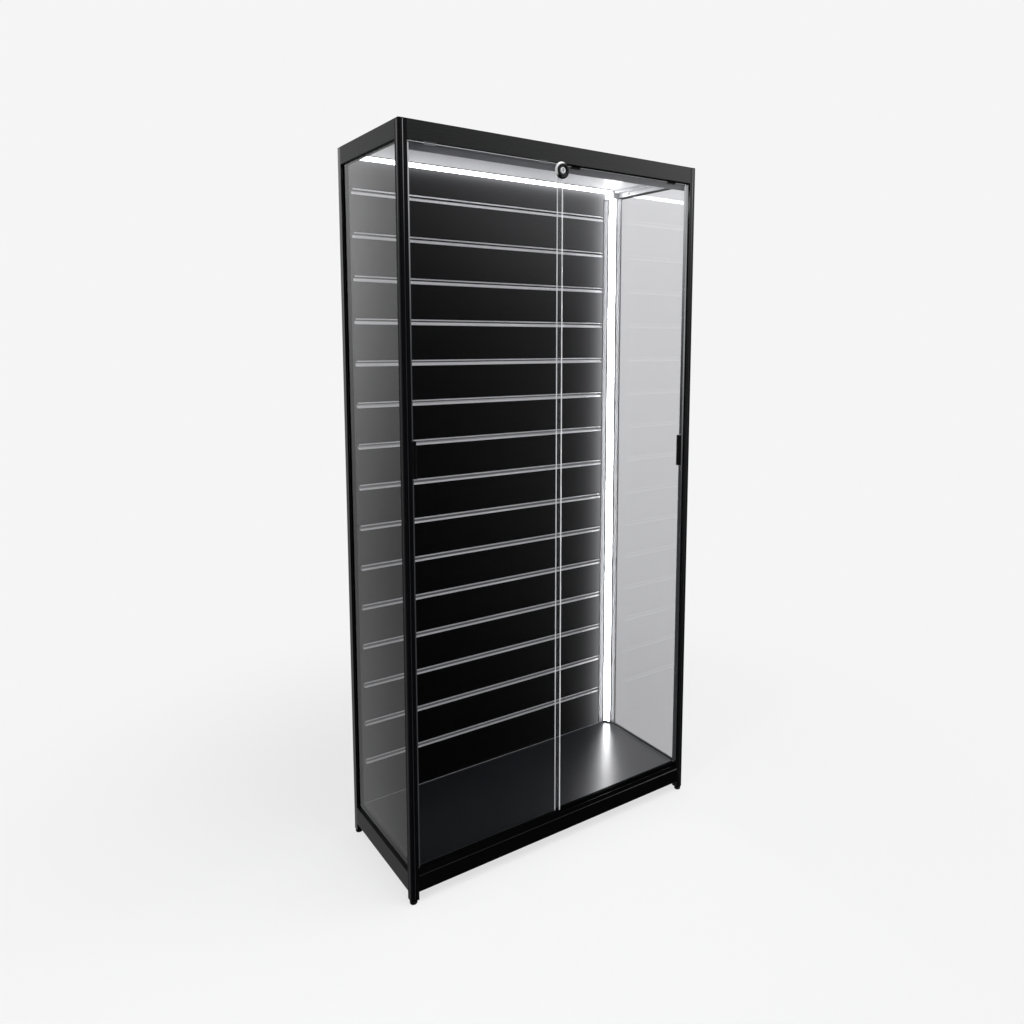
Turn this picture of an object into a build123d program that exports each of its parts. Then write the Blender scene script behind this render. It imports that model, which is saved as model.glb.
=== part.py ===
from build123d import *

import os

# Overall size of the cabinet, over its posts and from the floor to the roof
width = 960.0
depth = 400.0
height = 1980.0

# Square corner posts, drawn in one hollow section with a glazing groove
post_side = 22.0
post_corner_radius = 4.0
extrusion_wall = 1.6
post_cap = 2.0
groove_depth = 5.0

# Levelling feet: a pad, a threaded stud with a hexagon collar, and a plug in the post
foot_height = 11.0
foot_axis_in = 10.0
pad_radius = 10.0
pad_height = 7.5
pad_sole_radius = 6.0
collar_flats = 17.0
collar_height = 2.9
collar_gap = 0.3
stud_radius = 4.0
stud_length = 26.0
stud_fit = 0.075
pin_radius = 2.5
pin_length = 6.0
plug_height = 18.0

# Rails between the posts
base_underside = 32.5
front_base_height = 43.5
side_base_height = 51.5
fascia_height = 46.0
rear_rail_depth = 13.0
deck_ledge_reach = 12.0
roof_ledge_reach = 10.0
track_recess = 15.0
fascia_skin = 1.8

# Panels
deck_thickness = 18.0
board_thickness = 18.0
ceiling_thickness = 3.0
roof_thickness = 4.0
ceiling_drop = 23.0

# Side glazing: glass in a rubber channel, with a bead along the deck
glass_thickness = 5.0
glass_inset = 6.0
gasket_wall = 1.5
gasket_floor = 1.2
gasket_lip = 2.0
bead_height = 13.0
bead_chamfer = 3.0

# Slatwall slots and their aluminium liners
slat_pitch = 117.34
slat_first_drop = 90.3
slat_last_margin = 60.0
slot_height = 18.0
slot_depth = 10.0
liner_wall = 1.2
liner_proud = 0.6
liner_mouth = 7.0
liner_left_in = 7.0
liner_right_gap = 2.0

# Sliding doors and the twin tracks that they run in
front_door_plane = 7.0
door_plane_step = 9.0
split_from_left = 474.0
door_overlap = 11.0
left_door_gap = 2.5
right_door_gap = 2.5
door_top_gap = 2.0
glass_arris = 0.4
track_base = 2.5
track_edge = 0.6
track_lip = 2.0
track_height = 15.0
deck_gap = 0.5
rail_thickness = 1.6
rail_height = 5.5
channel_width = 7.0
top_web = 3.0
top_leg_clearance = 1.5
baffle_drop = 20.0

# Door shoes, rollers, guides, pulls and end buffers
shoe_wall = 1.0
shoe_lift = 1.0
shoe_height = 13.0
shoe_web = 1.0
shoe_glass_seat = 4.7
roller_inset = 45.0
roller_outer_radius = 4.5
roller_root_radius = 3.2
roller_root_width = 2.2
roller_width = 4.4
roller_rail_gap = 0.02
axle_radius = 1.0
axle_fit = 0.05
guide_length = 30.0
guide_inset = 45.0
guide_clearance = 0.3
guide_grip = 5.0
guide_rise = 11.0
pull_length = 95.0
left_pull_middle = 1170.0
right_pull_middle = 1125.0
left_pull_reach = 8.0
right_pull_reach = 12.0
pull_wall = 1.6
pull_edge = 1.5
pull_lip = 4.4
pull_round = 0.5
buffer_thickness = 2.0
buffer_clearance = 0.1
buffer_height = 18.0

# Cylinder lock, clamped in a notch at the top right corner of the front door
lock_edge_in = 8.0
lock_below_glass_top = 18.0
lock_flange_radius = 22.0
lock_flange_thickness = 4.5
lock_flange_clearance = 0.5
lock_boss_radius = 10.0
lock_barrel_radius = 8.0
lock_notch_clearance = 0.2
lock_ring_radius = 17.0
lock_ring_taper = 1.0
lock_ring_hole = 11.0
lock_ring_length = 5.0
plug_head_radius = 10.7
plug_head_length = 1.2
plug_head_gap = 0.2
plug_shank_radius = 6.0
plug_fit = 0.075
plug_tail_gap = 0.5
key_slot_length = 11.0
key_slot_width = 2.2
key_slot_depth = 2.4
clamp_plate = 2.4
clamp_height = 28.0
clamp_reach = 14.0
clamp_edge = 2.0
clamp_round = 3.0

# Lamp channels under the ceiling and up the rear right corner
channel_wall = 1.5
top_lamp_drop = 7.0
top_lamp_reach = 36.0
corner_lamp_wall_leg = 38.0
corner_lamp_side_leg = 49.0
corner_lens_wall = 17.0
corner_lens_side = 22.0
lens_thickness = 1.5
lens_bulge = 2.0
lens_rib = 3.0
lamp_cap_height = 6.0
corner_block_side = 33.0
corner_block_height = 26.0
corner_block_chamfer = 12.0
bearer_width = 18.0
bearer_height = 8.0

# Cable outlet in the rear fascia
outlet_from_right = 120.0
outlet_radius = 5.0
outlet_sleeve_radius = 7.0
outlet_flange_radius = 9.0

# Planes worked out from the sizes above
lock_proud = lock_flange_clearance + lock_flange_thickness + lock_ring_length
front = -(depth - lock_proud) / 2
back = front + depth
left = -width / 2
inner_left = left + post_side
inner_right = -inner_left
inner_front = front + post_side
inner_back = back - rear_rail_depth
post_back = back - post_side
front_base_top = base_underside + front_base_height
side_base_top = base_underside + side_base_height
deck_top = front_base_top + deck_thickness
fascia_bottom = height - fascia_height
ceiling = height - ceiling_drop
wall_face = inner_back - board_thickness
door_glass_top = fascia_bottom - door_top_gap
channel_bottom = fascia_bottom + track_recess
rail_top = front_base_top + track_base + rail_height
shoe_bottom = rail_top + shoe_lift
shoe_top = shoe_bottom + shoe_height
shoe_seat = shoe_top - shoe_glass_seat
axle_height = rail_top + roller_rail_gap + roller_root_radius
left_plane = front + front_door_plane
right_plane = left_plane + door_plane_step
left_glass_start = inner_left + left_door_gap
left_glass_end = left + split_from_left
right_glass_start = left_glass_end - door_overlap
right_glass_end = inner_right - right_door_gap
lock_x = left_glass_end - lock_edge_in
lock_z = door_glass_top - lock_below_glass_top
lock_seat = left_plane - glass_thickness / 2
lamp_right = inner_right - corner_block_side
slat_first = ceiling - slat_first_drop
slat_count = 1 + int((slat_first - deck_top - slat_last_margin) / slat_pitch)
slat_heights = [slat_first - slat_pitch * row for row in range(slat_count)]


def block(x0, x1, y0, y1, z0, z1):
    """A rectangular block between two limits on each axis."""
    middle = Pos((x0 + x1) / 2, (y0 + y1) / 2, (z0 + z1) / 2)
    return middle * Box(x1 - x0, y1 - y0, z1 - z0)


def rect(u0, u1, v0, v1):
    """A rectangle of a section between two limits on each of its axes."""
    return Pos((u0 + u1) / 2, (v0 + v1) / 2) * Rectangle(u1 - u0, v1 - v0)


def outline(*points):
    """A face with straight sides through the points."""
    return make_face(Polyline(*points, close=True))


def along_x(section, x0, x1):
    """A section given in Y and Z, drawn along X."""
    return Pos(x0, 0, 0) * extrude(Plane.YZ * section, x1 - x0)


def along_y(section, y0, y1):
    """A section given in X and Z, drawn along Y."""
    return Pos(0, y0, 0) * extrude(Plane.XZ * section, y1 - y0, dir=(0, 1, 0))


def upright(section, z0, z1):
    """A section given in X and Y, drawn upward."""
    return Pos(0, 0, z0) * extrude(section, z1 - z0)


def on_right(piece):
    """The same piece on the other side of the cabinet."""
    return mirror(piece, about=Plane.YZ)


def turned(points, x, y, z):
    """A turned piece facing the front: points are radius and distance in front of y."""
    half = Plane.XZ * outline(*points)
    return Pos(x, y, z) * Rot(90, 0, 0) * revolve(half, Axis.Z)


# Frame


def post_chamber():
    """The wide hollow of a post, beside its glazing groove, from the outer corner."""
    far = post_side - groove_depth - extrusion_wall
    near = extrusion_wall
    hollow = rect(near, post_side - extrusion_wall, near, far)
    corner = hollow.vertices().sort_by_distance((0, 0, 0))[0]
    return fillet(corner, post_corner_radius - extrusion_wall)


def post_section():
    """The section of a post, with its rounded outer corner at the origin."""
    square = rect(0, post_side, 0, post_side)
    corner = square.vertices().sort_by_distance((0, 0, 0))[0]
    square = fillet(corner, post_corner_radius)
    groove_near = glass_inset - gasket_wall
    groove_far = glass_inset + glass_thickness + gasket_wall
    mouth = post_side - groove_depth
    groove = rect(groove_near, groove_far, mouth, post_side)
    narrow = rect(
        groove_far + extrusion_wall,
        post_side - extrusion_wall,
        mouth - extrusion_wall * 2,
        post_side - extrusion_wall,
    )
    return square, groove, post_chamber() + narrow


def at_corner(piece, right, rear):
    """A corner piece made at the front left, set at one of the four corners."""
    if right:
        piece = mirror(piece, about=Plane.YZ)
    if rear:
        piece = mirror(piece, about=Plane.XZ)
    return Pos(-left if right else left, back if rear else front, 0) * piece


def make_post(right, rear):
    """A corner post, open below for its foot and closed at the roof."""
    square, groove, hollow = post_section()
    post = upright(square, foot_height, height)
    post = post - upright(groove + hollow, foot_height, height - post_cap)
    return at_corner(post, right, rear)


def make_foot_plug(right, rear):
    """The plug in a post's lower end that the foot's stud screws into."""
    plug = upright(post_chamber(), foot_height, foot_height + plug_height)
    hole = Cylinder(stud_radius + stud_fit, plug_height * 3)
    plug = plug - Pos(foot_axis_in, foot_axis_in, foot_height) * hole
    return at_corner(plug, right, rear)


def make_foot_pad(right, rear):
    """A round pad with a flat sole, a rounded edge and a socket for the stud's pin."""
    arc_height = pad_radius - pad_sole_radius
    low = Line((0, 0), (pad_sole_radius, 0))
    edge_end = (pad_radius, arc_height)
    edge = RadiusArc(low @ 1, edge_end, -arc_height)
    side = Line(edge @ 1, (pad_radius, pad_height))
    rim = Line(side @ 1, (0, pad_height))
    axis = Line(rim @ 1, (0, 0))
    pad = revolve(Plane.XZ * make_face([low, edge, side, rim, axis]), Axis.Z)
    socket = Cylinder(pin_radius + stud_fit, (pin_length + stud_fit) * 2)
    pad = pad - Pos(0, 0, pad_height) * socket
    return at_corner(Pos(foot_axis_in, foot_axis_in, 0) * pad, right, rear)


def make_foot_stud(right, rear):
    """The stud of a foot: a pin in the pad, a hexagon collar and the screwed shank."""
    collar_bottom = pad_height + collar_gap
    collar_face = RegularPolygon(collar_flats / 2, 6, major_radius=False)
    collar = upright(collar_face, collar_bottom, collar_bottom + collar_height)
    pin = Cylinder(pin_radius, pin_length + collar_gap)
    pin = Pos(0, 0, collar_bottom - (pin_length + collar_gap) / 2) * pin
    shank = Cylinder(stud_radius, stud_length)
    shank = Pos(0, 0, collar_bottom + collar_height + stud_length / 2) * shank
    stud = collar + pin + shank
    return at_corner(Pos(foot_axis_in, foot_axis_in, 0) * stud, right, rear)


def tube(u0, u1, v0, v1, wall):
    """The section of a hollow rail."""
    return rect(u0, u1, v0, v1) - rect(u0 + wall, u1 - wall, v0 + wall, v1 - wall)


def make_front_base():
    """The front rail under the doors, with a ledge for the deck."""
    section = tube(front, inner_front, base_underside, front_base_top, extrusion_wall)
    ledge_bottom = front_base_top - extrusion_wall
    ledge = rect(inner_front, inner_front + deck_ledge_reach, ledge_bottom, front_base_top)
    return along_x(section + ledge, inner_left, inner_right)


def make_rear_base():
    """The rear rail, with a ledge for the deck."""
    section = tube(inner_back, back, base_underside, side_base_top, extrusion_wall)
    ledge_bottom = front_base_top - extrusion_wall
    ledge = rect(inner_back - deck_ledge_reach, inner_back, ledge_bottom, front_base_top)
    return along_x(section + ledge, inner_left, inner_right)


def glazing_groove(mouth, floor):
    """The groove for the left glass's rubber channel, from its mouth to its floor."""
    near = left + glass_inset - gasket_wall
    far = left + glass_inset + glass_thickness + gasket_wall
    return rect(near, far, min(mouth, floor), max(mouth, floor))


def make_left_base():
    """The left rail, grooved on top for the glass, with a ledge for the deck."""
    wall = extrusion_wall
    groove_floor = side_base_top - groove_depth
    section = rect(left, inner_left, base_underside, side_base_top)
    section -= glazing_groove(side_base_top, groove_floor)
    chamber_top = groove_floor - wall
    section -= rect(left + wall, inner_left - wall, base_underside + wall, chamber_top)
    rail = along_y(section, inner_front, post_back)
    ledge_bottom = front_base_top - wall
    ledge = rect(inner_left, inner_left + deck_ledge_reach, ledge_bottom, front_base_top)
    ledge_front = inner_front + deck_ledge_reach
    return rail + along_y(ledge, ledge_front, inner_back - deck_ledge_reach)


def make_front_fascia():
    """The front fascia: a hollow head with a skirt in front of the door track."""
    head = tube(front, inner_front, channel_bottom, height, fascia_skin)
    skirt = rect(front, front + fascia_skin, fascia_bottom, channel_bottom + fascia_skin)
    ledge_end = inner_front + roof_ledge_reach
    roof_seat = height - roof_thickness
    roof_ledge = rect(inner_front, ledge_end, roof_seat - fascia_skin, roof_seat)
    ceiling_ledge = rect(inner_front, ledge_end, ceiling - fascia_skin, ceiling)
    section = head + skirt + roof_ledge + ceiling_ledge
    return along_x(section, inner_left, inner_right)


def outlet_place():
    """The middle of the cable outlet, on the rear face."""
    return inner_right - outlet_from_right, (ceiling + height) / 2 - roof_thickness / 2


def make_rear_fascia():
    """The rear fascia with its roof ledge and the hole for the cable outlet."""
    roof_seat = height - roof_thickness
    section = tube(inner_back, back, fascia_bottom, height, fascia_skin)
    ledge_front = inner_back - roof_ledge_reach
    section += rect(ledge_front, inner_back, roof_seat - fascia_skin, roof_seat)
    rail = along_x(section, inner_left, inner_right)
    x, z = outlet_place()
    sleeve = Cylinder(outlet_sleeve_radius, rear_rail_depth * 2)
    rail -= Pos(x, inner_back, z) * Rot(90, 0, 0) * sleeve
    rail -= Pos(x, back, z) * Rot(90, 0, 0) * Cylinder(outlet_flange_radius, fascia_skin * 2)
    return rail


def make_outlet():
    """The rubber sleeve that lines the cable outlet, flush with the rear face."""
    x, z = outlet_place()
    length = rear_rail_depth
    flange_start = length - fascia_skin
    sleeve = turned(
        [
            (outlet_radius, 0),
            (outlet_flange_radius, 0),
            (outlet_flange_radius, fascia_skin),
            (outlet_sleeve_radius, fascia_skin),
            (outlet_sleeve_radius, length),
            (outlet_radius, length),
        ],
        x,
        flange_start + inner_back + fascia_skin,
        z,
    )
    return sleeve


def make_left_fascia():
    """The left fascia, grooved below for the glass, with a ledge for the roof."""
    wall = fascia_skin
    groove_floor = fascia_bottom + groove_depth
    section = rect(left, inner_left, fascia_bottom, height)
    section -= glazing_groove(fascia_bottom, groove_floor)
    section -= rect(left + wall, inner_left - wall, groove_floor + wall, height - wall)
    rail = along_y(section, inner_front, post_back)
    roof_seat = height - roof_thickness
    ledge = rect(inner_left, inner_left + roof_ledge_reach, roof_seat - wall, roof_seat)
    ledge_back = inner_back - roof_ledge_reach
    return rail + along_y(ledge, inner_front + roof_ledge_reach, ledge_back)


# Panels


def make_roof():
    """The roof panel, flush between the fascias."""
    return block(inner_left, inner_right, inner_front, inner_back, height - roof_thickness, height)


def make_ceiling():
    """The ceiling panel on its ledge, its bearers and the slatwall board."""
    top = ceiling + ceiling_thickness
    return block(inner_left, inner_right, inner_front, inner_back, ceiling, top)


def make_deck():
    """The deck panel on the ledges of the base rails."""
    deck_front = inner_front + deck_gap
    return block(inner_left, inner_right, deck_front, inner_back, front_base_top, deck_top)


def make_board():
    """The slatwall board with a slot for each liner."""
    board = rect(wall_face, inner_back, deck_top, ceiling)
    for z in slat_heights:
        half = slot_height / 2
        board -= rect(wall_face, wall_face + slot_depth, z - half, z + half)
    return along_x(board, inner_left, inner_right)


def liner_section(z):
    """The section of one slot liner: a channel whose lips leave a narrow mouth."""
    half = slot_height / 2
    face = wall_face - liner_proud
    section = rect(face, wall_face + slot_depth, z - half, z + half)
    cavity = half - liner_wall
    section -= rect(face + liner_wall, wall_face + slot_depth - liner_wall, z - cavity, z + cavity)
    return section - rect(face, face + liner_wall, z - liner_mouth / 2, z + liner_mouth / 2)


def make_liners():
    """The slot liners, short of the left edge and of the lamp channel."""
    start = inner_left + liner_left_in
    end = inner_right - corner_lamp_wall_leg - liner_right_gap
    return [along_x(liner_section(z), start, end) for z in slat_heights]


# Side glazing


def glazing_limits():
    """The edges of the left glass: front, rear, lower and upper."""
    bite = groove_depth - gasket_floor
    return (
        inner_front - bite,
        post_back + bite,
        side_base_top - bite,
        fascia_bottom + bite,
    )


def make_left_glass():
    """The left side glass."""
    y0, y1, z0, z1 = glazing_limits()
    x0 = left + glass_inset
    return block(x0, x0 + glass_thickness, y0, y1, z0, z1)


def make_left_gasket():
    """The rubber channel round the left glass, with a lip that shows inside the frame."""
    y0, y1, z0, z1 = glazing_limits()
    floor = gasket_floor
    x0 = left + glass_inset - gasket_wall
    x1 = left + glass_inset + glass_thickness + gasket_wall
    ring = block(x0, x1, y0 - floor, y1 + floor, z0 - floor, z1 + floor)
    lip = gasket_lip
    window = block(
        x0,
        x1,
        inner_front + lip,
        post_back - lip,
        side_base_top + lip,
        fascia_bottom - lip,
    )
    return ring - window - make_left_glass()


def make_left_bead():
    """The bead along the deck inside the left glass, with a sloped upper edge."""
    x0 = left + glass_inset + glass_thickness + gasket_wall
    top = side_base_top + bead_height
    section = outline(
        (x0, side_base_top),
        (inner_left, side_base_top),
        (inner_left, top - bead_chamfer),
        (inner_left - bead_chamfer, top),
        (x0, top),
    )
    return along_y(section, inner_front, wall_face)


# Door tracks


def make_bottom_track():
    """The lower track: two rails on a base between a front lip and a rear wall."""
    base_top = front_base_top + track_base
    lip_top = front_base_top + track_height
    track_front = front + track_edge
    track_back = inner_front + deck_gap
    section = rect(track_front, track_back, front_base_top, base_top)
    section += rect(track_front, track_front + track_lip, base_top, lip_top)
    section += rect(track_back - track_lip, track_back, base_top, lip_top)
    for plane in (left_plane, right_plane):
        half = rail_thickness / 2
        section += rect(plane - half, plane + half, base_top, rail_top - half)
        section += Pos(plane, rail_top - half) * Circle(half)
    return along_x(section, inner_left, inner_right)


def make_top_track():
    """The upper track: two channels for the guides and a baffle behind the glass."""
    half = channel_width / 2
    track_front = front + fascia_skin
    leg_bottom = fascia_bottom + top_leg_clearance
    section = rect(track_front, inner_front, channel_bottom - top_web, channel_bottom)
    section += rect(track_front, left_plane - half, leg_bottom, channel_bottom)
    section += rect(left_plane + half, right_plane - half, leg_bottom, channel_bottom)
    baffle_bottom = fascia_bottom - baffle_drop
    section += rect(right_plane + half, inner_front, baffle_bottom, channel_bottom)
    return along_x(section, inner_left, inner_right)


def make_buffers():
    """A rubber buffer at each end of each channel of the lower track."""
    base_top = front_base_top + track_base
    half = channel_width / 2 - buffer_clearance
    pieces = []
    for plane in (left_plane, right_plane):
        for start in (inner_left, inner_right - buffer_thickness):
            end = start + buffer_thickness
            top = base_top + buffer_height
            piece = block(start, end, plane - half, plane + half, base_top, top)
            slot = rail_thickness / 2 + buffer_clearance
            above_rail = rail_top + buffer_clearance
            piece -= block(start, end, plane - slot, plane + slot, base_top, above_rail)
            pieces.append(piece)
    return pieces


# Doors


def make_door_glass(plane, x0, x1):
    """One sliding pane with its sharp edges taken off."""
    half = glass_thickness / 2
    pane = block(x0, x1, plane - half, plane + half, shoe_seat, door_glass_top)
    return chamfer(pane.edges(), glass_arris)


def make_left_door_glass():
    """The front pane with the open notch that the lock is clamped in."""
    pane = make_door_glass(left_plane, left_glass_start, left_glass_end)
    radius = lock_barrel_radius + lock_notch_clearance
    depth_cut = glass_thickness * 2
    round_end = Pos(lock_x, left_plane, lock_z) * Rot(90, 0, 0) * Cylinder(radius, depth_cut)
    slot = block(
        lock_x,
        left_glass_end + lock_edge_in,
        left_plane - glass_thickness,
        left_plane + glass_thickness,
        lock_z - radius,
        lock_z + radius,
    )
    return pane - round_end - slot


def roller_places(x0, x1):
    """Where the two rollers of a door sit along its shoe."""
    return x0 + roller_inset, x1 - roller_inset


def make_shoe(plane, x0, x1):
    """The shoe under a pane: a seat for the glass above a housing for two rollers."""
    outer = glass_thickness / 2 + shoe_wall
    inner = glass_thickness / 2
    section = rect(plane - outer, plane + outer, shoe_bottom, shoe_top)
    section -= rect(plane - inner, plane + inner, shoe_seat, shoe_top)
    section -= rect(plane - inner, plane + inner, shoe_bottom, shoe_seat - shoe_web)
    shoe = along_x(section, x0, x1)
    axle = Rot(90, 0, 0) * Cylinder(axle_radius, outer * 2)
    for x in roller_places(x0, x1):
        shoe += Pos(x, plane, axle_height) * axle
    return shoe


def make_roller(plane, x):
    """A roller with a groove that runs on the rail and a bore for its axle."""
    half = roller_width / 2
    root = roller_root_width / 2
    flare = roller_outer_radius - roller_root_radius
    shoulder = root + flare / 2
    bore = axle_radius + axle_fit
    return turned(
        [
            (bore, -half),
            (roller_outer_radius, -half),
            (roller_outer_radius, -shoulder),
            (roller_root_radius, -root),
            (roller_root_radius, root),
            (roller_outer_radius, shoulder),
            (roller_outer_radius, half),
            (bore, half),
        ],
        x,
        plane,
        axle_height,
    )


def make_guides(plane, x0, x1):
    """Two nylon guides that grip a pane's upper edge and run in the upper track."""
    half = channel_width / 2 - guide_clearance
    inner = glass_thickness / 2
    top = door_glass_top + guide_rise
    section = rect(plane - half, plane + half, door_glass_top - guide_grip, top)
    section -= rect(plane - inner, plane + inner, door_glass_top - guide_grip, door_glass_top)
    starts = (x0 + guide_inset, x1 - guide_inset - guide_length)
    return [along_x(section, start, start + guide_length) for start in starts]


def make_pull(plane, edge, inward, reach, middle, lip):
    """A finger pull clipped over the outer edge of a pane, with or without a lip."""
    inner = glass_thickness / 2
    outer = inner + pull_wall
    rim = edge - inward * pull_edge
    tip = edge + inward * reach
    lip_start = tip - inward * pull_wall
    front_face = plane - outer
    nose = front_face - (pull_lip if lip else 0)
    points = [
        (rim, plane + outer),
        (tip, plane + outer),
        (tip, plane + inner),
        (edge, plane + inner),
        (edge, plane - inner),
        (tip, plane - inner),
        (tip, nose),
        (lip_start, nose),
        (lip_start, front_face),
        (rim, front_face),
    ]
    if not lip:
        points = points[:6] + [(tip, front_face), points[9]]
    low = middle - pull_length / 2
    pull = upright(outline(*points), low, low + pull_length)
    rim_edges = pull.edges().filter_by(Axis.Z).group_by(Axis.X)[0 if inward > 0 else -1]
    return fillet(rim_edges, pull_round)


# Lock


def make_lock_body():
    """The lock's barrel through the notch, its boss and the chromed flange."""
    bore = plug_shank_radius + plug_fit
    boss = front_door_plane - glass_thickness / 2 + lock_flange_clearance
    face = boss + lock_flange_thickness
    edge = lock_flange_thickness / 2
    return turned(
        [
            (bore, -glass_thickness),
            (lock_barrel_radius, -glass_thickness),
            (lock_barrel_radius, 0),
            (lock_boss_radius, 0),
            (lock_boss_radius, boss),
            (lock_flange_radius, boss),
            (lock_flange_radius, boss + edge),
            (lock_flange_radius - edge, face),
            (bore, face),
        ],
        lock_x,
        lock_seat,
        lock_z,
    )


def make_lock_ring():
    """The thick ring that stands round the plug."""
    start = front_door_plane - glass_thickness / 2 + lock_flange_clearance + lock_flange_thickness
    end = start + lock_ring_length
    edge = lock_ring_taper
    return turned(
        [
            (lock_ring_hole, start),
            (lock_ring_radius, start),
            (lock_ring_radius, end - edge * 2),
            (lock_ring_radius - edge, end),
            (lock_ring_hole + edge, end),
            (lock_ring_hole, end - edge),
        ],
        lock_x,
        lock_seat,
        lock_z,
    )


def make_lock_plug():
    """The turning plug, sunk in the ring, with its key slot upright."""
    start = front_door_plane - glass_thickness / 2 + lock_flange_clearance + lock_flange_thickness
    head = start + plug_head_gap
    face = head + plug_head_length
    tail = plug_tail_gap - glass_thickness
    plug = turned(
        [(0, tail), (plug_shank_radius, tail), (plug_shank_radius, head)]
        + [(plug_head_radius, head), (plug_head_radius, face), (0, face)],
        lock_x,
        lock_seat,
        lock_z,
    )
    slot_face = lock_seat - face
    slot = block(
        lock_x - key_slot_width / 2,
        lock_x + key_slot_width / 2,
        slot_face,
        slot_face + key_slot_depth,
        lock_z - key_slot_length / 2,
        lock_z + key_slot_length / 2,
    )
    return plug - slot


def make_lock_clamp():
    """The rear jaw of the lock and the bridge round the pane's edge."""
    seat = left_plane + glass_thickness / 2
    edge = left_glass_end + clamp_edge
    half = clamp_height / 2
    jaw = block(edge - clamp_reach, edge, seat, seat + clamp_plate, lock_z - half, lock_z + half)
    corners = jaw.edges().filter_by(Axis.Y).group_by(Axis.X)[0]
    jaw = fillet(corners, clamp_round)
    return jaw + block(left_glass_end, edge, lock_seat, seat, lock_z - half, lock_z + half)


# Lamps


def lens_section(first, second):
    """A bowed lens between two points on the legs of a channel."""
    start, end = Vector(*first), Vector(*second)
    along = (end - start).normalized()
    bow = Vector(-along.Y, along.X)
    middle = (start + end) * 0.5
    outer = ThreePointArc(start, middle + bow * lens_bulge, end)
    inner = ThreePointArc(
        end - along * lens_thickness,
        middle + bow * (lens_bulge - lens_thickness),
        start + along * lens_thickness,
    )
    return make_face([outer, Line(outer @ 1, inner @ 0), inner, Line(inner @ 1, outer @ 0)])


def make_top_lamp_channel():
    """The channel in the angle of wall and ceiling."""
    section = rect(wall_face - channel_wall, wall_face, ceiling - top_lamp_drop, ceiling)
    reach = wall_face - top_lamp_reach
    section += rect(reach, wall_face - channel_wall, ceiling - channel_wall, ceiling)
    return along_x(section, inner_left + bearer_width, lamp_right)


def make_top_lamp_lens():
    """The lens of the upper lamp."""
    lower = (wall_face - channel_wall, ceiling - top_lamp_drop)
    upper = (wall_face - top_lamp_reach, ceiling - channel_wall)
    return along_x(lens_section(lower, upper), inner_left + bearer_width, lamp_right)


def make_corner_lamp_channel():
    """The channel up the rear right corner, with ribs that hold its lens."""
    corner = inner_right
    side = corner - channel_wall
    wall = wall_face - channel_wall
    section = rect(corner - corner_lamp_wall_leg, corner, wall, wall_face)
    section += rect(side, corner, wall_face - corner_lamp_side_leg, wall)
    wall_rib = corner - corner_lens_wall
    side_rib = wall_face - corner_lens_side
    section += rect(wall_rib - channel_wall, wall_rib, wall - lens_rib, wall)
    section += rect(side - lens_rib, side, side_rib - channel_wall, side_rib)
    return upright(section, deck_top + lamp_cap_height, ceiling - corner_block_height)


def make_corner_lamp_lens():
    """The lens of the corner lamp."""
    on_wall = (inner_right - corner_lens_wall, wall_face - channel_wall)
    on_side = (inner_right - channel_wall, wall_face - corner_lens_side)
    lens = lens_section(on_side, on_wall)
    return upright(lens, deck_top + lamp_cap_height, ceiling - corner_block_height)


def make_corner_lamp_cap():
    """The end cap under the corner lamp."""
    corner = (inner_right, wall_face)
    on_wall = (inner_right - corner_lens_wall - channel_wall, wall_face)
    on_side = (inner_right, wall_face - corner_lens_side - channel_wall)
    rise = lens_rib + channel_wall
    section = outline(
        corner,
        on_wall,
        (on_wall[0], wall_face - rise),
        (inner_right - rise, on_side[1]),
        on_side,
    )
    return upright(section, deck_top, deck_top + lamp_cap_height)


def make_corner_block():
    """The block that joins the two lamps under the ceiling."""
    side = corner_block_side
    near = (inner_right - side, wall_face - side)
    cut = corner_block_chamfer
    section = outline(
        (inner_right, wall_face),
        (near[0], wall_face),
        (near[0], near[1] + cut),
        (near[0] + cut, near[1]),
        (inner_right, near[1]),
    )
    return upright(section, ceiling - corner_block_height, ceiling)


def make_left_bearer():
    """The box rail that carries the ceiling along the left fascia."""
    low = ceiling - bearer_height
    section = tube(inner_left, inner_left + bearer_width, low, ceiling, extrusion_wall)
    bearer_front = inner_front + roof_ledge_reach
    return along_y(section, bearer_front, wall_face - corner_block_side)


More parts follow.
